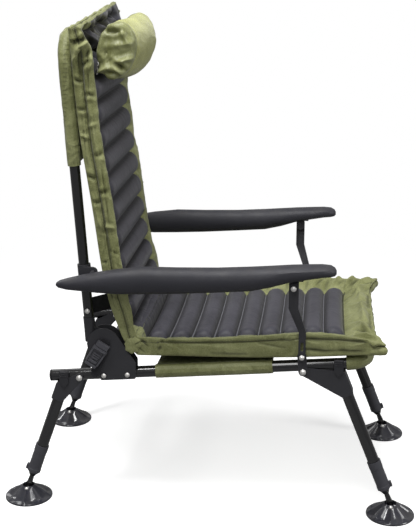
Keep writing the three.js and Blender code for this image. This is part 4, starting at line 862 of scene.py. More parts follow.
# Seat cushion: a rim all round and nine ribs sunk inside it. Folds are x, y of both ends, width, depth;
# those of the walls are y and height over the rail
seatPadSettings = {
    "frontY": -0.372, "rearY": 0.146, "halfWidth": 0.224, "cornerHalf": 0.236,
    "frontSeam": 0.378, "rearSeam": 0.354, "frontSide": 0.024, "rearSide": 0.040,
    "nearSwell": 0.024, "farSwell": 0.010, "roll": 0.003, "frontDrawIn": 0.022, "rearDrawIn": 0.006,
    "frontBorder": 0.066, "rearBorder": 0.009, "halfPanel": 0.171, "sink": 0.028,
    "ribs": 9, "ribRise": 0.023, "ribEnd": 0.024, "cap": 0.006, "wallSeam": 0.76, "wallOut": 0.006, "seed": 3.1,
    "crush": 0.0055, "crushWide": 0.062, "widest": 0.2272, "bottomLift": 0.43, "pleat": 0.0032, "dip": 0.95,
    "folds": [
        (0.166, -0.300, 0.226, -0.356, 0.0090, 0.0120), (0.186, -0.288, 0.232, -0.318, 0.0070, 0.0090),
        (0.140, -0.310, 0.210, -0.366, 0.0065, -0.0090), (0.110, -0.316, 0.186, -0.346, 0.0070, 0.0080),
        (0.192, -0.262, 0.228, -0.284, 0.0065, 0.0070), (0.190, -0.222, 0.226, -0.246, 0.0060, -0.0060),
        (-0.166, -0.304, -0.216, -0.362, 0.0080, 0.0120), (-0.130, -0.314, -0.196, -0.366, 0.0065, -0.0090),
        (-0.090, -0.318, -0.166, -0.344, 0.0080, 0.0080), (0.060, -0.328, 0.150, -0.330, 0.0100, 0.0070),
        (-0.080, -0.334, 0.040, -0.330, 0.0110, 0.0080), (-0.150, -0.346, -0.030, -0.346, 0.0070, -0.0050),
        (0.000, -0.344, 0.110, -0.348, 0.0070, -0.0050), (0.200, -0.150, 0.214, -0.100, 0.0060, 0.0040),
    ],
    "wallFolds": [
        (0.140, 0.084, 0.122, 0.064, 0.0042, -0.0060), (0.146, 0.066, 0.128, 0.048, 0.0040, -0.0055),
        (0.126, 0.080, 0.066, 0.056, 0.0055, 0.0070), (0.116, 0.050, 0.020, 0.044, 0.0060, 0.0060),
        (0.104, 0.040, 0.090, 0.078, 0.0050, -0.0060), (-0.170, 0.066, -0.275, 0.036, 0.0065, 0.0080),
        (-0.205, 0.040, -0.330, 0.030, 0.0060, -0.0060), (-0.300, 0.040, -0.366, 0.052, 0.0055, 0.0080),
        (-0.090, 0.034, -0.010, 0.040, 0.0060, -0.0045), (0.030, 0.058, -0.050, 0.050, 0.0055, 0.0050),
        (-0.110, 0.060, -0.170, 0.046, 0.0055, -0.0050), (-0.330, 0.070, -0.372, 0.062, 0.0050, -0.0070),
    ],
}


def seatCushion(settings):
    length = settings["rearY"] - settings["frontY"]
    front, rear = settings["frontBorder"] / length, settings["rearBorder"] / length
    span, ribs, sewn = 1.0 - front - rear, settings["ribs"], settings["wallSeam"]
    pitch = (length - settings["frontBorder"] - settings["rearBorder"]) / ribs
    rows = joinShares(spaced(0.0, front, 14), spaced(front, 1.0 - rear, ribs * 10), spaced(1.0 - rear, 1.0, 3))
    foot = settings["halfPanel"] / settings["halfWidth"]

    def sunk(s, t):
        return max(min((1.0 - abs(t)) / (1.0 - foot), s / front, (1.0 - s) / rear, 1.0), 0.0)

    def place(s, t, level):
        y = settings["frontY"] + length * s
        y += settings["frontDrawIn"] * (1.0 - abs(t) ** 5) * (1.0 - s) ** 2
        y -= settings["rearDrawIn"] * (1.0 - t * t) * s
        half = halfAt(settings, s)
        seam = between(settings["rearSeam"], settings["frontSeam"], (1.0 - s) ** 3)
        grown = between(settings["nearSwell"], settings["farSwell"], (t + 1.0) / 2.0)
        tall = between(settings["frontSide"], settings["rearSide"], s) + grown * math.sin(math.pi * (1.0 - s) ** 2)
        edge = sunk(s, t)
        sling = railZ(y) + (0.0151 if y < -0.31 else 0.0108)
        under = max(min((1.0 - abs(t)) / settings["bottomLift"], s / (1.6 * front), (1.0 - s) / 0.08, 1.0), 0.0)
        low = between(seam, sling + 0.0004, smooth(under))
        high = seam + tall - settings["sink"] * edge ** 1.4 + settings["roll"] * math.sin(math.pi * edge)
        ribEnd = (foot - abs(t)) * settings["halfWidth"]
        high += settings["ribRise"] * sausage((s - front) / span, ribs, ribEnd, settings["ribEnd"])
        if level >= 1.0:
            return (t * half, y, high)
        if level <= 0.0:
            return (t * half, y, low)
        belly = math.sin(math.pi * level / sewn)
        if level >= sewn:
            belly = 0.45 * math.sin(math.pi * (level - sewn) / (1.0 - sewn))
        out = settings["wallOut"] * belly
        atEnd = 1.0 if s <= 0.0 or s >= 1.0 else 0.0
        atSide = 1.0 if abs(t) >= 1.0 else 0.0
        return (t * half + math.copysign(out * atSide, t),
                y + (out if s >= 1.0 else -out) * atEnd, between(low, high, level))

    levels = (0.0, 0.1, 0.22, 0.34, 0.46, 0.57, 0.67, 0.76, 0.85, 0.93, 1.0)
    piece, spots, loops = cushionMesh("seat_pad", place, rows, panelColumns(foot), levels)
    count = len(spots)
    pins, panel, seam = np.zeros(count), np.full(count, -0.05), np.full(count, 0.05)
    for index, (s, t, level) in enumerate(spots):
        pins[index] = pinWeight(s, t, level, (s - front) / span, ribs, foot, sewn)
        if level == 1.0:
            panel[index] = fingerPanel(t * settings["halfWidth"], (s - front) * length, settings["halfPanel"] + 0.004,
                                       pitch, ribs, openEnd=True)
            seam[index] = abs(panel[index])
        elif level > 0.0:
            seam[index] = abs(level - sewn) * 0.044
    swell(piece, pins, settings["cap"], swellSettings)
    mesh = piece.data
    places, out = coordinates(mesh), normals(mesh)
    for index, (s, t, level) in enumerate(spots):
        x, y, z = places[index]
        if level == sewn:
            places[index] -= out[index] * 0.0015
        elif 0.0 < level < 1.0:
            places[index] += out[index] * (0.0009 * ripple(y * 30.0 + x * 11.0, z * 16.0, settings["seed"]))
        elif level == 1.0 and front < s < 1.0 - rear and sunk(s, t) < 1.0:
            places[index] += out[index] * pleat(settings, (s - front) / span, pitch, sunk(s, t))
    moveTo(mesh, places)
    lines = [[tuple(places[index]) for index in loops[levels.index(0.85)]]]
    turn = (spots[:, 0] - front) / span * ribs
    # on the piping line between two ribs the finish paints a highlight
    onPanel = (spots[:, 2] == 1.0) & (turn > 0.5) & (turn < ribs - 0.5) & (np.abs(spots[:, 1]) < foot - 0.02)
    piping = np.where(onPanel & (np.abs(turn - np.round(turn)) < 0.01), 1.0, 0.0)
    keepMeasures(piece, spots, turn, {"piping": piping, "panel": panel, "seam": seam})

    def height(places, s, t, level):
        edge = edgeShare(s, t, foot, front, rear)
        onTop = unit((level - 0.95) * 20.0)
        onWall = unit(level * 12.0) * (1.0 - onTop)
        along = np.where(np.abs(t) > 0.999, places[:, 1], 5.0)
        over = places[:, 2] - railZ(places[:, 1])
        hand = foldField(along, over, settings["wallFolds"]) * np.where(t < 0.0, 1.0, 0.0)
        crush = crumpled(places, settings)
        loose = np.clip(np.abs(level - sewn) / 0.09, 0.35, 1.0)
        onBorder = unit((1.0 - edge) * 1.6)
        drawn = foldField(places[:, 0], places[:, 1], settings["folds"])
        turn = ((s - front) / span * ribs + 0.5) % 1.0 - 0.5
        farBorder = np.where((t > 0.0) & (s > front), 1.0, 0.0)
        # painted shade where the ribs run into the far border, between them
        shade = np.exp(-((turn * pitch / 0.005) ** 2)) * farBorder * (1.0 - edge) * edge * 2.6
        # the crease measure: painted shade in slits of the wall folds and of the border's folds, with the far border's
        # shade added
        keepShare(piece, "dip", onWall * settings["dip"] * unit(-hand / 0.006)
                  + onTop * unit(settings["dip"] * onBorder * unit(-drawn / 0.007) + shade))
        return (onWall * (hand + settings["crush"] * crush * loose)
                + onTop * onBorder * (drawn + 0.7 * settings["crush"] * crush))

    layFolds(piece, height, settings["widest"], lambda spots: (-0.335 - spots[:, 1]) / 0.02)
    piece.data.materials.append(finishes["cushionQuilt"])
    return piece, lines


seatPad, seatSeams = seatCushion(seatPadSettings)
attach(seatPad, "seat", "seat_cushion")
print("stage 3: seat cushion is sewn and filled")

# Back cushion: twelve ribs, a wall of two strips, thicker on the chair's right, slack at its top
backPadSettings = {
    "slateFrom": 0.93,
    "bottom": 0.381, "top": 1.056, "rearFront": 0.170, "depth": 0.100, "halfWidth": 0.226, "cornerHalf": 0.236,
    "nearSide": 0.043, "farSide": 0.024, "pinch": 0.016, "pinchReach": 0.06, "rearBulge": 0.0018,
    "border": 0.018, "halfPanel": 0.171, "sink": 0.019, "roll": 0.003, "nearDroop": 0.024, "farDroop": 0.000,
    "ribs": 12, "ribRise": 0.021, "ribEnd": 0.022, "cap": 0.006, "wallOut": 0.005, "seed": 21.7,
    "slackFrom": 0.87, "slackDepth": 0.013, "topPanelFrom": -0.55, "tuckPitch": 0.066,
    "tuckDepth": 0.0075, "tuckWidth": 0.0050, "crush": 0.0050, "crushWide": 0.060, "crushTop": 0.945,
    "widest": 0.2274, "pleat": 0.0030, "dip": 0.95,
    "longFolds": [
        (0.900, 0.052, 0.780, 0.060, 0.0045, 0.0060), (0.760, 0.066, 0.640, 0.058, 0.0045, -0.0060),
        (0.640, 0.050, 0.520, 0.056, 0.0045, 0.0060), (0.860, 0.020, 0.760, 0.012, 0.0045, -0.0050),
        (0.700, 0.014, 0.590, 0.024, 0.0045, 0.0055), (0.560, 0.022, 0.450, 0.014, 0.0045, -0.0050),
        (0.980, 0.066, 0.900, 0.054, 0.0045, -0.0060), (0.500, 0.060, 0.410, 0.052, 0.0045, 0.0055),
    ],
    "topFolds": [
        (-0.150, 1.020, -0.060, 0.960, 0.0090, 0.0090), (-0.120, 1.030, -0.020, 0.985, 0.0080, -0.0100),
        (-0.060, 1.036, 0.040, 1.000, 0.0090, 0.0080), (0.010, 1.036, 0.120, 0.990, 0.0090, -0.0090),
        (-0.165, 0.990, -0.110, 0.930, 0.0080, -0.0090), (0.090, 1.036, 0.160, 1.010, 0.0080, 0.0070),
    ],
    "cornerFolds": [
        (0.262, 1.006, 0.226, 1.014, 0.0060, -0.0100), (0.250, 0.990, 0.222, 1.020, 0.0055, 0.0090),
        (0.238, 0.976, 0.216, 1.004, 0.0055, -0.0090), (0.262, 0.960, 0.246, 1.016, 0.0060, 0.0060),
        (0.232, 0.950, 0.224, 0.984, 0.0060, 0.0070), (0.246, 0.935, 0.250, 0.985, 0.0050, -0.0060),
    ],
    "curve": ((0.0, 0.0), (0.06, 0.19), (0.16, 0.4), (0.27, 0.51), (0.42, 0.63), (0.64, 0.85), (0.8, 0.94),
              (1.0, 1.0)),
}


def backPadRear(z, settings):
    share = (z - settings["bottom"]) / (settings["top"] - settings["bottom"])
    heights, depths = zip(*settings["curve"])
    return settings["rearFront"] + settings["depth"] * float(np.interp(share, heights, depths))


def wallTucks(settings):
    # short tucks where the thread pulls each strip of the wall: height and level of both ends, width, depth
    tucks = []
    count = int((settings["top"] - settings["bottom"]) / settings["tuckPitch"])
    for strip in (0.0, 0.5):
        for index in range(count):
            jitter = ripple(index * 1.7, strip * 9.0, settings["seed"])
            z = settings["bottom"] + settings["tuckPitch"] * (index + 0.5 + strip * 0.9 + 0.35 * jitter)
            lean = 0.010 * ripple(index * 2.3, strip * 5.0, settings["seed"] + 3.0)
            deep = settings["tuckDepth"] * (0.65 + 0.5 * abs(jitter))
            sign = -1.0 if index % 3 else 0.8
            wild = ripple(index * 3.1, strip * 4.0, settings["seed"] + 6.0)
            start, end = strip + 0.04 + 0.2 * max(wild, 0.0), strip + 0.46 - 0.24 * max(-wild, 0.0)
            tucks.append((z + 0.014 * wild, start * 0.08, z + lean * 2.0, end * 0.08, settings["tuckWidth"],
                          sign * deep))
    return tucks + settings["longFolds"]


def backCushion(settings):
    bottom, top = settings["bottom"], settings["top"]
    height = top - bottom
    border = settings["border"] / height
    span, ribs, sewn = 1.0 - 2.0 * border, settings["ribs"], 0.5
    pitch = (height - 2.0 * settings["border"]) / ribs
    rows = joinShares(spaced(0.0, border, 4), spaced(border, 1.0 - border, ribs * 10), spaced(1.0 - border, 1.0, 4))
    foot = settings["halfPanel"] / settings["halfWidth"]

    def sunk(s, t):
        return max(min((1.0 - abs(t)) / (1.0 - foot), s / border, (1.0 - s) / border, 1.0), 0.0)

    def place(s, t, level):
        z = bottom + height * s
        step = 0.03
        up, down = min(z + step, top), max(z - step, bottom)
        slope = (backPadRear(up, settings) - backPadRear(down, settings)) / (up - down)
        # the rear face is taken as a mean over a rib, so that no kink shows
        rear = sum(backPadRear(min(max(z + d * step, bottom), top), settings) for d in (-1, -0.5, 0, 0.5, 1)) / 5.0
        if s in (0.0, 1.0):
            rear = backPadRear(z, settings)
        rear = min(rear, backPadRear(z, settings) + 0.001)
        length = math.hypot(1.0, slope)
        face = (-1.0 / length, slope / length)
        pinch = settings["pinch"] * (1.0 - min(min(s, 1.0 - s) * height / settings["pinchReach"], 1.0))
        side = between(settings["nearSide"], settings["farSide"], (t + 1.0) / 2.0) - pinch
        middle = (settings["nearSide"] + settings["farSide"]) / 2.0 - pinch
        edge = sunk(s, t)
        slack = smooth((s - settings["slackFrom"]) / 0.06)
        ribEnd = (foot - abs(t)) * settings["halfWidth"]
        rib = sausage((s - border) / span, ribs, ribEnd, settings["ribEnd"])
        high = between(side, middle - min(settings["sink"], middle), edge ** 1.4)
        high += settings["roll"] * math.sin(math.pi * edge) + settings["ribRise"] * rib * (1.0 - 0.6 * slack)
        rise = between(-settings["rearBulge"] * edge * (1.0 - t * t), high, level)
        out = settings["wallOut"] * abs(math.sin(2.0 * math.pi * level)) if 0.0 < level < 1.0 else 0.0
        drop = between(settings["nearDroop"], settings["farDroop"], (t + 1.0) / 2.0) * s ** 9
        x = t * halfAt(settings, s) + (math.copysign(out, t) if abs(t) >= 1.0 else 0.0)
        lift = (out if s >= 1.0 else -out) if s <= 0.0 or s >= 1.0 else 0.0
        return (x, rear + face[0] * rise, z + face[1] * rise - drop + lift)

    levels = (0.0, 0.1, 0.2, 0.3, 0.4, 0.5, 0.6, 0.7, 0.8, 0.9, 1.0)
    piece, spots, loops = cushionMesh("back_pad", place, rows, panelColumns(foot), levels)
    count = len(spots)
    pins, panel, seam = np.zeros(count), np.full(count, -0.05), np.full(count, 0.05)
    for index, (s, t, level) in enumerate(spots):
        pins[index] = pinWeight(s, t, level, (s - border) / span, ribs, foot, sewn)
        if level == 1.0:
            openTop = t > settings["topPanelFrom"]
            panel[index] = fingerPanel(t * settings["halfWidth"], (s - border) * height, settings["halfPanel"] + 0.004,
                                       pitch, ribs, True, openTop)
            if openTop and s > 1.0 - border:
                panel[index] = 0.01
            seam[index] = abs(panel[index])
        elif level > 0.0:
            seam[index] = abs(level - sewn) * settings["nearSide"]
    swell(piece, pins, settings["cap"], swellSettings)
    mesh = piece.data
    places, out = coordinates(mesh), normals(mesh)
    tucks = wallTucks(settings)
    for index, (s, t, level) in enumerate(spots):
        x, y, z = places[index]
        tall = 0.0
        if level == sewn:
            tall = -0.0022
        elif 0.0 < level < 1.0:
            tall = 0.0010 * ripple(z * 26.0 + x * 9.0, 2.0 * level + t, settings["seed"])
        elif level == 1.0:
            edge = sunk(s, t)
            if edge < 1.0 and border < s < 1.0 - border:
                tall = pleat(settings, (s - border) / span, pitch, edge)
            slack = smooth((s - settings["slackFrom"]) / 0.06)
            if slack > 0.0:
                slump = ripple(x * 17.0, z * 11.0, settings["seed"] + 8)
                tall += settings["slackDepth"] * slack * slump * smooth(edge * 2.0)
        places[index] += out[index] * tall
    moveTo(mesh, places)
    lines = [[tuple(places[index]) for index in loops[levels.index(level)]] for level in (0.4, 0.6)]
    corner = (spots[:, 2] == 1.0) & (spots[:, 0] > settings["slateFrom"]) & (spots[:, 1] > 0.5)
    panel[corner] = np.maximum(panel[corner], 0.01)
    keepMeasures(piece, spots, (spots[:, 0] - border) / span * ribs, {"panel": panel, "seam": seam})

    def fineHeight(places, s, t, level):
        edge = edgeShare(s, t, foot, border, border)
        onTop = unit((level - 0.92) * 12.0)
        onWall = unit(level * 8.0) * (1.0 - onTop)
        up = np.where(np.abs(t) > 0.999, places[:, 2], 5.0)
        hand = foldField(up, level * 0.08, tucks)
        crush = crumpled(places, settings)
        onBorder = unit((1.0 - edge) * 1.6)
        high = unit((places[:, 2] - settings["crushTop"]) / 0.03)
        crushed = settings["crush"] * crush * (1.0 + 1.2 * high * (1.0 - onBorder))
        gathered = foldField(places[:, 1], places[:, 2], settings["cornerFolds"]) * np.where(t < -0.9, 1.0, 0.0)
        loose = foldField(places[:, 0], places[:, 2], settings["topFolds"]) * high
        # painted shade in the pits of the crumpled cloth near the top, and in slits of the wall tucks and of the
        # gathered near top corner
        pitShade = unit(0.35 - 3.0 * crush) * high * onTop
        keepShare(piece, "dip", pitShade + settings["dip"] * onWall * unit(-(hand + gathered) / 0.006))
        return (onWall * (hand + gathered + crushed * np.clip(np.abs(level - sewn) / 0.12, 0.25, 1.0))
                + onTop * (np.maximum(onBorder, high) * crushed + loose))

    layFolds(piece, fineHeight, settings["widest"], lambda spots: (spots[:, 2] - 0.62) / 0.06)
    piece.data.materials.append(finishes["cushionQuilt"])
    return piece, lines


backPad, backSeams = backCushion(backPadSettings)
attach(backPad, "back", "back_cushion")
print("stage 4: back cushion is sewn and filled")

# Head pillow: a fleece roll between two gathered olive ends, leaning with the back. The folds of the ends
# are depth and height from the pillow's middle, for both ends of each, then width and depth
pillowSettings = {
    "middle": (0.0, 0.186, 0.980), "lean": 14.5, "seamAt": 0.127, "end": 0.149, "halfHeight": 0.064,
    "frontDepth": 0.047, "rearDepth": 0.036, "squareness": 0.88, "barrel": 0.10, "pinch": 0.04,
    "bow": 0.015, "yaw": 0.02,
    "around": 96, "seed": 51.3,
    "crush": 0.0036, "crushWide": 0.052,
    "folds": [
        (0.034, 0.033, 0.006, 0.041, 0.0055, -0.0100), (0.006, 0.041, -0.016, 0.020, 0.0060, 0.0070),
        (0.026, 0.006, -0.018, 0.021, 0.0090, 0.0060), (-0.001, -0.021, -0.026, -0.006, 0.0065, 0.0100),
        (-0.003, -0.025, -0.018, -0.034, 0.0055, -0.0150), (0.036, -0.052, 0.010, -0.034, 0.0070, 0.0090),
        (0.020, -0.048, -0.006, -0.046, 0.0060, -0.0080), (0.040, 0.026, 0.040, -0.020, 0.0080, 0.0060),
        (0.026, -0.006, 0.012, -0.030, 0.0060, -0.0050),
    ],
}


def headPillow(settings):
    lean = math.radians(settings["lean"])
    rearward, upward = (math.cos(lean), math.sin(lean)), (-math.sin(lean), math.cos(lean))
    middle = settings["middle"]
    seamAt, end = settings["seamAt"], settings["end"]
    stations = [(x, 1.0) for x in spaced(-seamAt, seamAt, 40)]
    rings = 11
    caps = [(seamAt + (end - seamAt) * (1.0 - (1.0 - k / rings) ** 3), 1.0 - (k / rings) ** 2.4)
            for k in range(1, rings)]
    stations = [(-x, r) for x, r in reversed(caps)] + stations + caps
    around = settings["around"]
    places = []
    for x, scale in stations:
        barrel = 1.0 - settings["barrel"] * (x / seamAt) ** 2
        if abs(x) > seamAt - 0.012:
            barrel -= settings["pinch"] * smooth(1.0 - abs(abs(x) - seamAt) / 0.012)
        for k in range(around):
            angle = 2.0 * math.pi * k / around
            c, s = math.cos(angle), math.sin(angle)
            deep = math.copysign(abs(c) ** settings["squareness"], c)
            tall = math.copysign(abs(s) ** settings["squareness"], s)
            deep *= settings["rearDepth"] if deep > 0.0 else settings["frontDepth"]
            tall *= settings["halfHeight"] * (1.0 - 0.10 * (1.0 if c < 0.0 else 0.4) * abs(c))
            # the ends are gathered towards the rear and below, where the elastic pulls
            gather = 1.0 - scale
            across = deep * scale * (barrel if c < 0.0 else 1.0) + 0.010 * gather
            across += settings["bow"] * (x / end) ** 2 + settings["yaw"] * x
            high = tall * scale * (0.35 + 0.65 * barrel) - 0.014 * gather
            if abs(x) < seamAt:
                fat = 0.0022 * ripple(x * 16.0 + 2.0 * c, s * 2.2, settings["seed"])
                across += fat * c
                high += fat * s
            places.append((middle[0] + x, middle[1] + rearward[0] * across + upward[0] * high,
                           middle[2] + rearward[1] * across + upward[1] * high))
    last = len(stations) - 1
    faces, finishOf = ringFaces(last, around), []
    for (x, _), (following, _) in zip(stations, stations[1:]):
        isFleece = max(abs(x), abs(following)) <= seamAt + tiny
        finishOf += [0 if isFleece else 1] * around
    poles = (len(places), len(places) + 1)
    for row in (0, last):
        ring = places[row * around:(row + 1) * around]
        places.append(tuple(sum(spot[axis] for spot in ring) / around for axis in range(3)))
    for k in range(around):
        j = (k + 1) % around
        faces += [(poles[0], k, j), (poles[1], last * around + j, last * around + k)]
        finishOf += [1, 1]
    piece = newPiece("head_pillow", places, faces, ("pillowFleece", "oliveNylon"))
    piece.data.polygons.foreach_set("material_index", finishOf)
    subdivideOnce(piece)
    mesh = piece.data
    spots, out = coordinates(mesh), normals(mesh)
    gap = spots - np.array(middle)
    outer = unit((np.abs(spots[:, 0] - middle[0]) - seamAt) / 0.008)
    deep = gap[:, 1] * rearward[0] + gap[:, 2] * rearward[1]
    tall = gap[:, 1] * upward[0] + gap[:, 2] * upward[1]
    rise = outer * (foldField(deep, tall, settings["folds"]) + settings["crush"] * crumpled(spots, settings))
    moveTo(mesh, spots + out * rise[:, None])
    return piece


pillow = headPillow(pillowSettings)
attach(pillow, "back", "headrest_pillow")
print("stage 5: head pillow is filled")


# Cloth that follows its frame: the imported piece, with its facets divided and its surface moved by a field
def followCloth(name, node, finish, longest, field):
    work = bmesh.new()
    work.from_mesh(nodes[node].data)
    bmesh.ops.remove_doubles(work, verts=work.verts, dist=weldGap)
    for turn in range(7):
        long = [edge for edge in work.edges if edge.calc_length() > longest]
        if not long:
            break
        bmesh.ops.subdivide_edges(work, edges=long, cuts=1)
        wide = [face for face in work.faces if len(face.verts) > 3]
        bmesh.ops.triangulate(work, faces=wide)
    work.normal_update()
    moves = [field(vert.co, vert.normal) for vert in work.verts]
    for vert, move in zip(work.verts, moves):
        vert.co += move
    mesh = bpy.data.meshes.new(name)
    work.to_mesh(mesh)
    work.free()
    piece = putInScene(name, mesh)
    mesh.materials.append(finishes[finish])
    shadeSmooth(mesh)
    crease(piece, 42.0)
    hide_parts(node)
    return piece


slingSettings = {"sag": 0.005, "pocket": 0.0005, "pocketFrom": 0.19}


def slingField(place, normal):
    # the stretched middle sags a little and ripples; the pockets round the rails only swell
    x, y, z = place
    inner = smooth((slingSettings["pocketFrom"] - abs(x)) / 0.05) * smooth((y + 0.31) / 0.05)
    wave = 0.5 + 0.5 * ripple(x * 9.0, y * 14.0, 61.0)
    down = -slingSettings["sag"] * inner * wave
    puff = slingSettings["pocket"] * (1.0 - inner) * (0.5 + 0.5 * ripple(y * 22.0 + x * 7.0, z * 18.0, 63.0))
    return Vector((normal.x * puff, normal.y * puff, normal.z * puff + down))


sling = followCloth("seat_sling_cloth", "seat_sling", "slingNylon", 0.016, slingField)
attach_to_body(sling, "seat")


def sleeveField(place, normal):
    # long soft folds up the tube, crossed by a few short ones
    puff = 0.0010 * (0.4 + 0.6 * ripple(place.z * 9.0, math.atan2(place.y - 0.28, abs(place.x) - 0.2) * 1.6, 71.0))
    puff += 0.0022 * max(crumple(place, 0.05, 73.0), 0.0)
    return Vector(normal) * puff


sleeve = followCloth("back_sleeve_cloth", "back_sleeve", "slingNylon", 0.008, sleeveField)
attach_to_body(sleeve, "back")


def strapField(place, normal):
    return Vector(normal) * 0.0002 * ripple(place.x * 40.0, place.z * 90.0 + place.y * 60.0, 81.0)


lumbar = followCloth("lumbar_strap_cloth", "lumbar_strap", "strapWebbing", 0.008, strapField)
attach(lumbar, "back")
for side in chairSides:
    strap = followCloth("buckle_strap_cloth_" + side, "buckle_strap_" + side, "strapWebbing", 0.006, strapField)
    attach(strap, "seat")
print("stage 6: sling, sleeve and straps are dressed")

# Trees that make what repeats: rivet heads on points, threads along short edges
def startTree(name, labels, finish):
    tree = bpy.data.node_groups.new(name, "GeometryNodeTree")
    tree.interface.new_socket("Geometry", in_out="INPUT", socket_type="NodeSocketGeometry")
    for label, value in labels.items():
        socket = tree.interface.new_socket(label, in_out="INPUT", socket_type="NodeSocketFloat")
        socket.default_value = value
    tree.interface.new_socket("Geometry", in_out="OUTPUT", socket_type="NodeSocketGeometry")
    given, made = tree.nodes.new("NodeGroupInput"), tree.nodes.new("NodeGroupOutput")
    paint = tree.nodes.new("GeometryNodeSetMaterial")
    paint.inputs["Material"].default_value = finishes[finish]
    real = tree.nodes.new("GeometryNodeRealizeInstances")
    soft = tree.nodes.new("GeometryNodeSetShadeSmooth")
    wire(tree, [
        (real.outputs[0], soft.inputs[0]), (soft.outputs[0], paint.inputs[0]), (paint.outputs[0], made.inputs[0]),
    ])
    return tree, given, real


def rivetTree(name, finish):
    # a flat ring with a smaller dome in it, on every point, facing along X
    tree, given, real = startTree(name, {"Radius": 0.006, "Dome": 0.0016, "Ring": 0.0012}, finish)
    ring = tree.nodes.new("GeometryNodeMeshCylinder")
    ring.inputs["Vertices"].default_value = 28
    ring.inputs["Side Segments"].default_value = 2
    turn = tree.nodes.new("GeometryNodeTransform")
    turn.inputs["Rotation"].default_value = (0.0, math.pi / 2.0, 0.0)
    dome = tree.nodes.new("GeometryNodeMeshUVSphere")
    for label, value in (("Segments", 24), ("Rings", 12), ("Radius", 1.0)):
        dome.inputs[label].default_value = value
    size = tree.nodes.new("ShaderNodeCombineXYZ")
    squash = tree.nodes.new("GeometryNodeTransform")
    both = tree.nodes.new("GeometryNodeJoinGeometry")
    place = tree.nodes.new("GeometryNodeInstanceOnPoints")
    inner = times(tree, given.outputs["Radius"], 0.66)
    wire(tree, [
        (given.outputs["Radius"], ring.inputs["Radius"]), (given.outputs["Ring"], ring.inputs["Depth"]),
        (ring.outputs["Mesh"], turn.inputs[0]), (dome.outputs["Mesh"], squash.inputs[0]),
        (given.outputs["Dome"], size.inputs[0]), (inner, size.inputs[1]), (inner, size.inputs[2]),
        (size.outputs[0], squash.inputs["Scale"]), (turn.outputs[0], both.inputs[0]),
        (squash.outputs[0], both.inputs[0]), (given.outputs["Geometry"], place.inputs["Points"]),
        (both.outputs[0], place.inputs["Instance"]), (place.outputs[0], real.inputs[0]),
    ])
    return tree


def threadTree(name, finish):
    # a round thread along every edge
    tree, given, real = startTree(name, {"Thickness": 0.0005}, finish)
    line = tree.nodes.new("GeometryNodeMeshToCurve")
    outline = tree.nodes.new("GeometryNodeCurvePrimitiveCircle")
    outline.inputs["Resolution"].default_value = 6
    tube = tree.nodes.new("GeometryNodeCurveToMesh")
    tube.inputs["Fill Caps"].default_value = True
    wire(tree, [
        (given.outputs["Geometry"], line.inputs[0]), (given.outputs["Thickness"], outline.inputs["Radius"]),
        (line.outputs[0], tube.inputs["Curve"]), (outline.outputs[0], tube.inputs["Profile Curve"]),
        (tube.outputs[0], real.inputs[0]),
    ])
    return tree


def growFrom(name, tree, places, edges, **sizes):
    # runs a tree on points or edges and keeps the plain mesh
    seedMesh = bpy.data.meshes.new(name + "Seed")
    seedMesh.from_pydata([tuple(place) for place in places], edges, [])
    piece = putInScene(name, seedMesh)
    grow = piece.modifiers.new("grow", "NODES")
    grow.node_group = tree
    sockets = {item.name: item.identifier for item in tree.interface.items_tree if item.in_out == "INPUT"}
    for label, value in sizes.items():
        grow[sockets[label]] = value
    shown = piece.evaluated_get(bpy.context.evaluated_depsgraph_get())
    mesh = bpy.data.meshes.new_from_object(shown)
    piece.modifiers.remove(grow)
    piece.data = mesh
    bpy.data.meshes.remove(seedMesh)
    mesh.name = name
    facesOut(mesh)
    return piece


rivets = rivetTree("rivetHeads", "rivetNickel")
oliveThread = threadTree("oliveThreads", "threadOlive")
rivetSettings = {
    "skirt": ((0.168, 0.3078), (0.219, 0.3035)), "skirtRadius": 0.0052,
    "strutFoot": (-0.202, 0.366), "strutTop": (-0.183, 0.5245), "strutRadius": 0.0056,
    "legPivots": {"front": (-0.205, 0.3304), "rear": (0.273, 0.2959)}, "legRadius": 0.0064,
    "lumbar": (0.2515, 0.4470), "lumbarRadius": 0.0054, "dome": 0.0022, "ring": 0.0010, "proud": 0.0004,
}


def setHeads(name, body, places, radius, dome):
    heads = growFrom(name, rivets, places, [], Radius=radius, Dome=dome, Ring=rivetSettings["ring"])
    attach(heads, body)


def rivetHeads(settings):
    for name, side in chairSides.items():
        def outside(node, *spots):
            # on the node's outermost face on that side
            low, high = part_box(node)
            reach = (high[0] if side > 0.0 else low[0]) + side * settings["proud"]
            return [(reach, y, z) for y, z in spots]

        pivots = [place for leg, spot in settings["legPivots"].items()
                  for place in outside(leg + "_leg_rivet_" + name, spot)]
        for label, body, places, radius in (
            ("hinge_rivets_", "seat", outside("hinge_bracket_" + name, *settings["skirt"]), "skirtRadius"),
            ("leg_pivot_heads_", "seat", pivots, "legRadius"),
            ("strut_bracket_rivet_", "strut_" + name, outside("strut_bracket_" + name, settings["strutFoot"]),
             "strutRadius"),
            ("armrest_bracket_rivet_", "armrest_" + name, outside("armrest_bracket_" + name, settings["strutTop"]),
             "strutRadius"),
            ("lumbar_rivet_", "back", outside("lumbar_strap", settings["lumbar"]), "lumbarRadius"),
        ):
            setHeads(label + name, body, places, settings[radius], settings["dome"])


rivetHeads(rivetSettings)
print("stage 7: rivet heads are set")

# Stitches: dashes that lie on a finished surface along a line
def surfaceOf(piece):
    mesh = piece.data
    return BVHTree.FromPolygons([vert.co[:] for vert in mesh.vertices], [face.vertices[:] for face in mesh.polygons])


def dashes(surface, line, pitch, length, lift):
    places, edges = [], []
    wait = 0.0
    for start, end in zip(line, line[1:]):
        run = (Vector(end) - Vector(start))
        span = run.length
        if span < 1e-9:
            continue
        while wait < span:
            edges.append((len(places), len(places) + 1))
            for shift in (-length / 2.0, length / 2.0):
                near, normal, _, _ = surface.find_nearest(Vector(start) + run * ((wait + shift) / span))
                places.append(near + normal * lift)
            wait += pitch
        wait -= span
    return places, edges


stitchSettings = {"pitch": 0.0062, "length": 0.0042, "lift": 0.0002, "thickness": 0.00042}


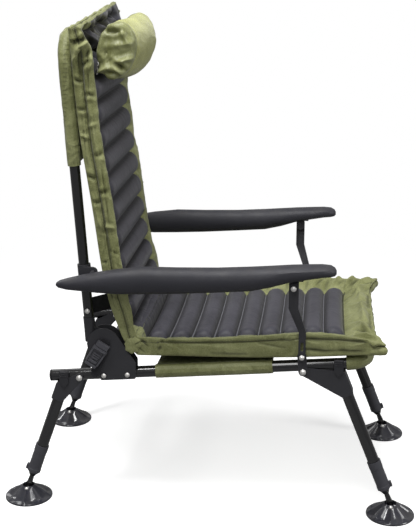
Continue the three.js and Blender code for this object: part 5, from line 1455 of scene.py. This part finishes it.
def sewPiece(name, piece, lines, body, settings):
    surface = surfaceOf(piece)
    places, edges = [], []
    for line in lines:
        newPlaces, newEdges = dashes(surface, line, settings["pitch"], settings["length"], settings["lift"])
        edges += [(a + len(places), b + len(places)) for a, b in newEdges]
        places += newPlaces
    attach(growFrom(name, oliveThread, places, edges, Thickness=settings["thickness"]), body)


sewPiece("seat_pad_stitches", seatPad, seatSeams, "seat", stitchSettings)
sewPiece("back_pad_stitches", backPad, backSeams, "back", stitchSettings)
barSettings = {"low": 0.772, "high": 1.004, "pitch": 0.0087, "middleY": 0.2905, "half": 0.0042, "lean": -0.055,
               "outer": 0.30, "thickness": 0.00045, "lift": 0.0002}


def sleeveBars(settings):
    # short bars across the sleeve's seam, one under another
    surface = surfaceOf(sleeve)
    places, edges = [], []
    count = int((settings["high"] - settings["low"]) / settings["pitch"])
    for side in chairSides.values():
        for index in range(count + 1):
            z = settings["low"] + settings["pitch"] * index
            y = settings["middleY"] + settings["lean"] * (z - settings["low"])
            ends = []
            for shift in (-1.0, 0.0, 1.0):
                spot = Vector((side * settings["outer"], y + shift * settings["half"], z))
                hit, normal, _, _ = surface.ray_cast(spot, Vector((-side, 0.0, 0.0)))
                if hit:
                    ends.append(hit + normal * settings["lift"])
            if len(ends) == 3:
                edges += [(len(places), len(places) + 1), (len(places) + 1, len(places) + 2)]
                places += ends
    bars = growFrom("sleeve_bar_stitches", oliveThread, places, edges, Thickness=settings["thickness"])
    attach(bars, "back")


sleeveBars(barSettings)
print("stage 8: seams are stitched")

# The padded bend between seat and back: its outline is y and z, and it ends inside both cushions
bendSettings = {
    "middle": (0.1545, 0.3765), "radii": (0.0168, 0.0190), "turn": 0.5,
    "slits": [(0.150, 0.397, 0.164, 0.392, 0.0030, -1.4), (0.138, 0.386, 0.150, 0.380, 0.0030, -1.4)],
    "half": 0.229, "halfPanel": 0.160, "crown": 0.004, "seed": 91.0,
    "start": (0.0, 0.146, 0.366), "end": (0.0, 0.170, 0.392),
}


def paddedBend(settings):
    centreY, centreZ = settings["middle"]
    around = 44
    cosine, sine = math.cos(settings["turn"]), math.sin(settings["turn"])
    loop = []
    for k in range(around):
        angle = 2.0 * math.pi * k / around
        wide, tall = settings["radii"][0] * math.cos(angle), settings["radii"][1] * math.sin(angle)
        loop.append((centreY + wide * cosine - tall * sine, centreZ + wide * sine + tall * cosine))
    half = settings["half"]
    stations = [(x, 1.0) for x in spaced(-half, half, 70)]
    capSteps = 6
    caps = [(half + settings["crown"] * math.sin(math.pi / 2.0 * k / capSteps), math.cos(math.pi / 2.0 * k / capSteps))
            for k in range(1, capSteps)]
    stations = [(-x, r) for x, r in reversed(caps)] + stations + caps
    places, panel = [], []
    for x, scale in stations:
        outside = smooth((abs(x) - settings["halfPanel"]) / 0.012)
        for k, (y, z) in enumerate(loop):
            wave = 0.0022 * ripple(x * 40.0, k * 0.34, settings["seed"]) + 0.0012 * math.sin(k * 1.15 + 9.0 * x)
            grow = scale * (1.0 + wave * outside / math.hypot(y - centreY, z - centreZ))
            places.append((x, centreY + (y - centreY) * grow, centreZ + (z - centreZ) * grow))
            panel.append(settings["halfPanel"] - abs(x))
    last = len(stations) - 1
    faces = ringFaces(last, around)
    faces += [tuple(range(around)), tuple(last * around + k for k in reversed(range(around)))]
    piece = newPiece("padded_bend", places, faces)
    # slits in the border cloth become painted shade through the crease measure
    slits = foldField(*np.array(places).T[1:], settings["slits"])
    for name, values in (("panel", panel), ("seam", np.abs(panel)), ("valley", np.zeros(len(places))),
                         ("dip", unit(-slits) * (np.array(panel) < 0.0))):
        keepShare(piece, name, values)
    subdivideOnce(piece)
    piece.data.materials.append(finishes["cushionQuilt"])
    return piece


bend = paddedBend(bendSettings)
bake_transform(bend)

# Side release buckles: a frame with a ridged bar above, two side prongs and a sunk middle plate
buckleSettings = {
    "top": (0.2150, 0.3795), "bottom": (0.2470, 0.3290), "half": 0.0172, "thick": 0.0092, "inner": 0.2302,
    "frames": [
        (-0.86, 0.86, 0.80, 1.00, 0.0, 0.9), (-1.0, 1.0, 0.66, 0.78, 0.1, 1.0), (-0.80, 0.80, 0.70, 0.745, 0.9, 1.25),
        (-1.0, -0.74, 0.12, 0.68, 0.0, 0.85), (0.74, 1.0, 0.12, 0.68, 0.0, 0.85), (-0.70, 0.70, 0.08, 0.64, 0.0, 0.5),
        *((-0.46, 0.46, low, low + 0.045, 0.6, 0.95) for low in (0.50, 0.42, 0.34)),
        (-0.88, 0.88, 0.00, 0.10, 0.0, 0.9), (-0.60, 0.60, 0.16, 0.26, 0.6, 0.85),
    ],
    "round": 0.0007, "downTaper": 0.12, "outTaper": 0.05,
}


def buckle(name, side, settings):
    (topY, topZ), (bottomY, bottomZ) = settings["top"], settings["bottom"]
    up = Vector((0.0, topY - bottomY, topZ - bottomZ))
    length = up.length
    up.normalize()
    across = Vector((0.0, up.z, -up.y))
    foot = Vector((side * settings["inner"], bottomY, bottomZ))
    work = bmesh.new()
    for left, right, low, high, inner, outer in settings["frames"]:
        for vert in bmesh.ops.create_cube(work, size=1.0)["verts"]:
            a = left if vert.co.x < 0.0 else right
            b = low if vert.co.y < 0.0 else high
            c = inner if vert.co.z < 0.0 else outer
            taper = 1.0 - settings["downTaper"] * (1.0 - b) - settings["outTaper"] * c
            vert.co = (foot + across * (a * settings["half"] * taper) + up * (b * length)
                       + Vector((side * c * settings["thick"], 0.0, 0.0)))
    bmesh.ops.bevel(work, geom=work.edges[:], offset=settings["round"], segments=2, affect="EDGES", profile=0.5)
    bmesh.ops.recalc_face_normals(work, faces=work.faces)
    mesh = bpy.data.meshes.new(name)
    work.to_mesh(mesh)
    work.free()
    mesh.materials.append(finishes["bucklePlastic"])
    return putInScene(name, mesh)


for name, side in chairSides.items():
    attach(buckle("side_buckle_" + name, side, buckleSettings), "seat", "buckle_" + name)

# Mud feet: a steep fluted cone on a thin rim, open at the top for the neck, with the pin's bright ends
footSettings = {
    "radius": 0.0520, "rim": 0.0044, "crown": 0.0142, "height": 0.0283, "well": 0.0124, "floor": 0.0120,
    "flutes": 8, "steps": 12, "slopes": 9, "scoop": 0.0092, "pinHeight": 0.0262, "pinReach": 0.0184,
    "headRadius": 0.0042, "headDome": 0.0030, "lowest": 0.0034, "hollow": 0.0080,
}


def mudFoot(name, centre, settings):
    around = settings["flutes"] * settings["steps"]
    radius, rim, crown, top = (settings[key] for key in ("radius", "rim", "crown", "height"))
    rings = [(0.040, 0.0030, 0.0), (0.0455, 0.0, 0.0), (radius - 0.0008, 0.0, 0.0), (radius, 0.0008, 0.0),
             (radius, rim - 0.0009, 0.0), (radius - 0.0008, rim, 0.0)]
    for step in range(1, settings["slopes"] + 1):
        share = step / (settings["slopes"] + 1.0)
        across = radius - 0.003 - (radius - 0.003 - crown) * share
        tall = rim + (top - rim) * share ** 0.95
        rings.append((across, tall, min(3.2 * share, 1.0) * (1.0 - 0.75 * share)))
    rings += [(crown, top, 0.0), (crown - 0.0008, top + 0.0008, 0.0), (settings["well"], top, 0.0),
              (settings["well"], settings["floor"], 0.0)]
    places = []
    for across, tall, share in rings:
        for k in range(around):
            turn = 2.0 * math.pi * k / around
            scoop = settings["scoop"] * share * abs(math.sin(settings["flutes"] * turn / 2.0)) ** 0.8
            places.append((centre[0] + across * math.cos(turn), centre[1] + across * math.sin(turn),
                           max(tall - scoop, min(tall, settings["lowest"]))))
    faces = [(face[0], face[3], face[2], face[1]) for face in ringFaces(len(rings) - 1, around)]
    under, floor = len(places), len(places) + 1
    places += [(centre[0], centre[1], settings["hollow"]), (centre[0], centre[1], settings["floor"])]
    last = (len(rings) - 1) * around
    for k in range(around):
        following = (k + 1) % around
        faces += [(under, following, k), (floor, last + k, last + following)]
    piece = newPiece(name, places, faces, ["footPlastic"])
    crease(piece, 34.0)
    return piece


for side in chairSides:
    for leg in ("front", "rear"):
        node = leg + "_foot_" + side
        low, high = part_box(node)
        centre = ((low[0] + high[0]) / 2.0, (low[1] + high[1]) / 2.0)
        attach(mudFoot(leg + "_mud_foot_" + side, centre, footSettings), node, node)
        ends = [(centre[0] + reach, centre[1], footSettings["pinHeight"])
                for reach in (-footSettings["pinReach"], footSettings["pinReach"])]
        setHeads(leg + "_foot_pin_ends_" + side, node, ends, footSettings["headRadius"], footSettings["headDome"])

# Snap ring on the pillow's elastic, beside the back cushion
ringSettings = {
    "middle": (-0.146, 0.234, 0.956), "radius": 0.0055, "wire": 0.0011, "steps": 20,
    "tail": ((-0.003, -0.002, -0.004), (-0.002, -0.004, -0.013), (0.0, -0.001, -0.022)),
}


def snapRing(settings):
    x, y, z = settings["middle"]
    steps = settings["steps"]
    places = [(x - 0.004, y + settings["radius"] * math.cos(2.0 * math.pi * k / steps),
               z + settings["radius"] * math.sin(2.0 * math.pi * k / steps)) for k in range(steps)]
    places += [(x + offX, y + offY, z + offZ) for offX, offY, offZ in settings["tail"]]
    edges = [(k, (k + 1) % steps) for k in range(steps)] + [(steps, steps + 1), (steps + 1, steps + 2)]
    wireTree = threadTree("bentWire", "rivetNickel")
    attach(growFrom("pillow_snap_ring", wireTree, places, edges, Thickness=settings["wire"]), "back")


snapRing(ringSettings)
print("stage 9: bend, buckles, feet and snap ring are in")

# Folded shut, the back lies on the seat. For each pad an axis, an anchor and a share it keeps are listed, and each pad
# and its stitches get a mesh of their own
foldSettings = {
    "seat_pad": {"axis": (0.0, 0.084, 0.996), "anchor": (0.0, -0.1, 0.342), "keep": 0.38},
    "back_pad": {"axis": (0.0, 0.989, -0.147), "anchor": (0.0, 0.172, 0.381), "keep": 0.4},
}
for name, fold in foldSettings.items():
    for piece in (bpy.data.objects[name], bpy.data.objects[name + "_stitches"]):
        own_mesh(piece)
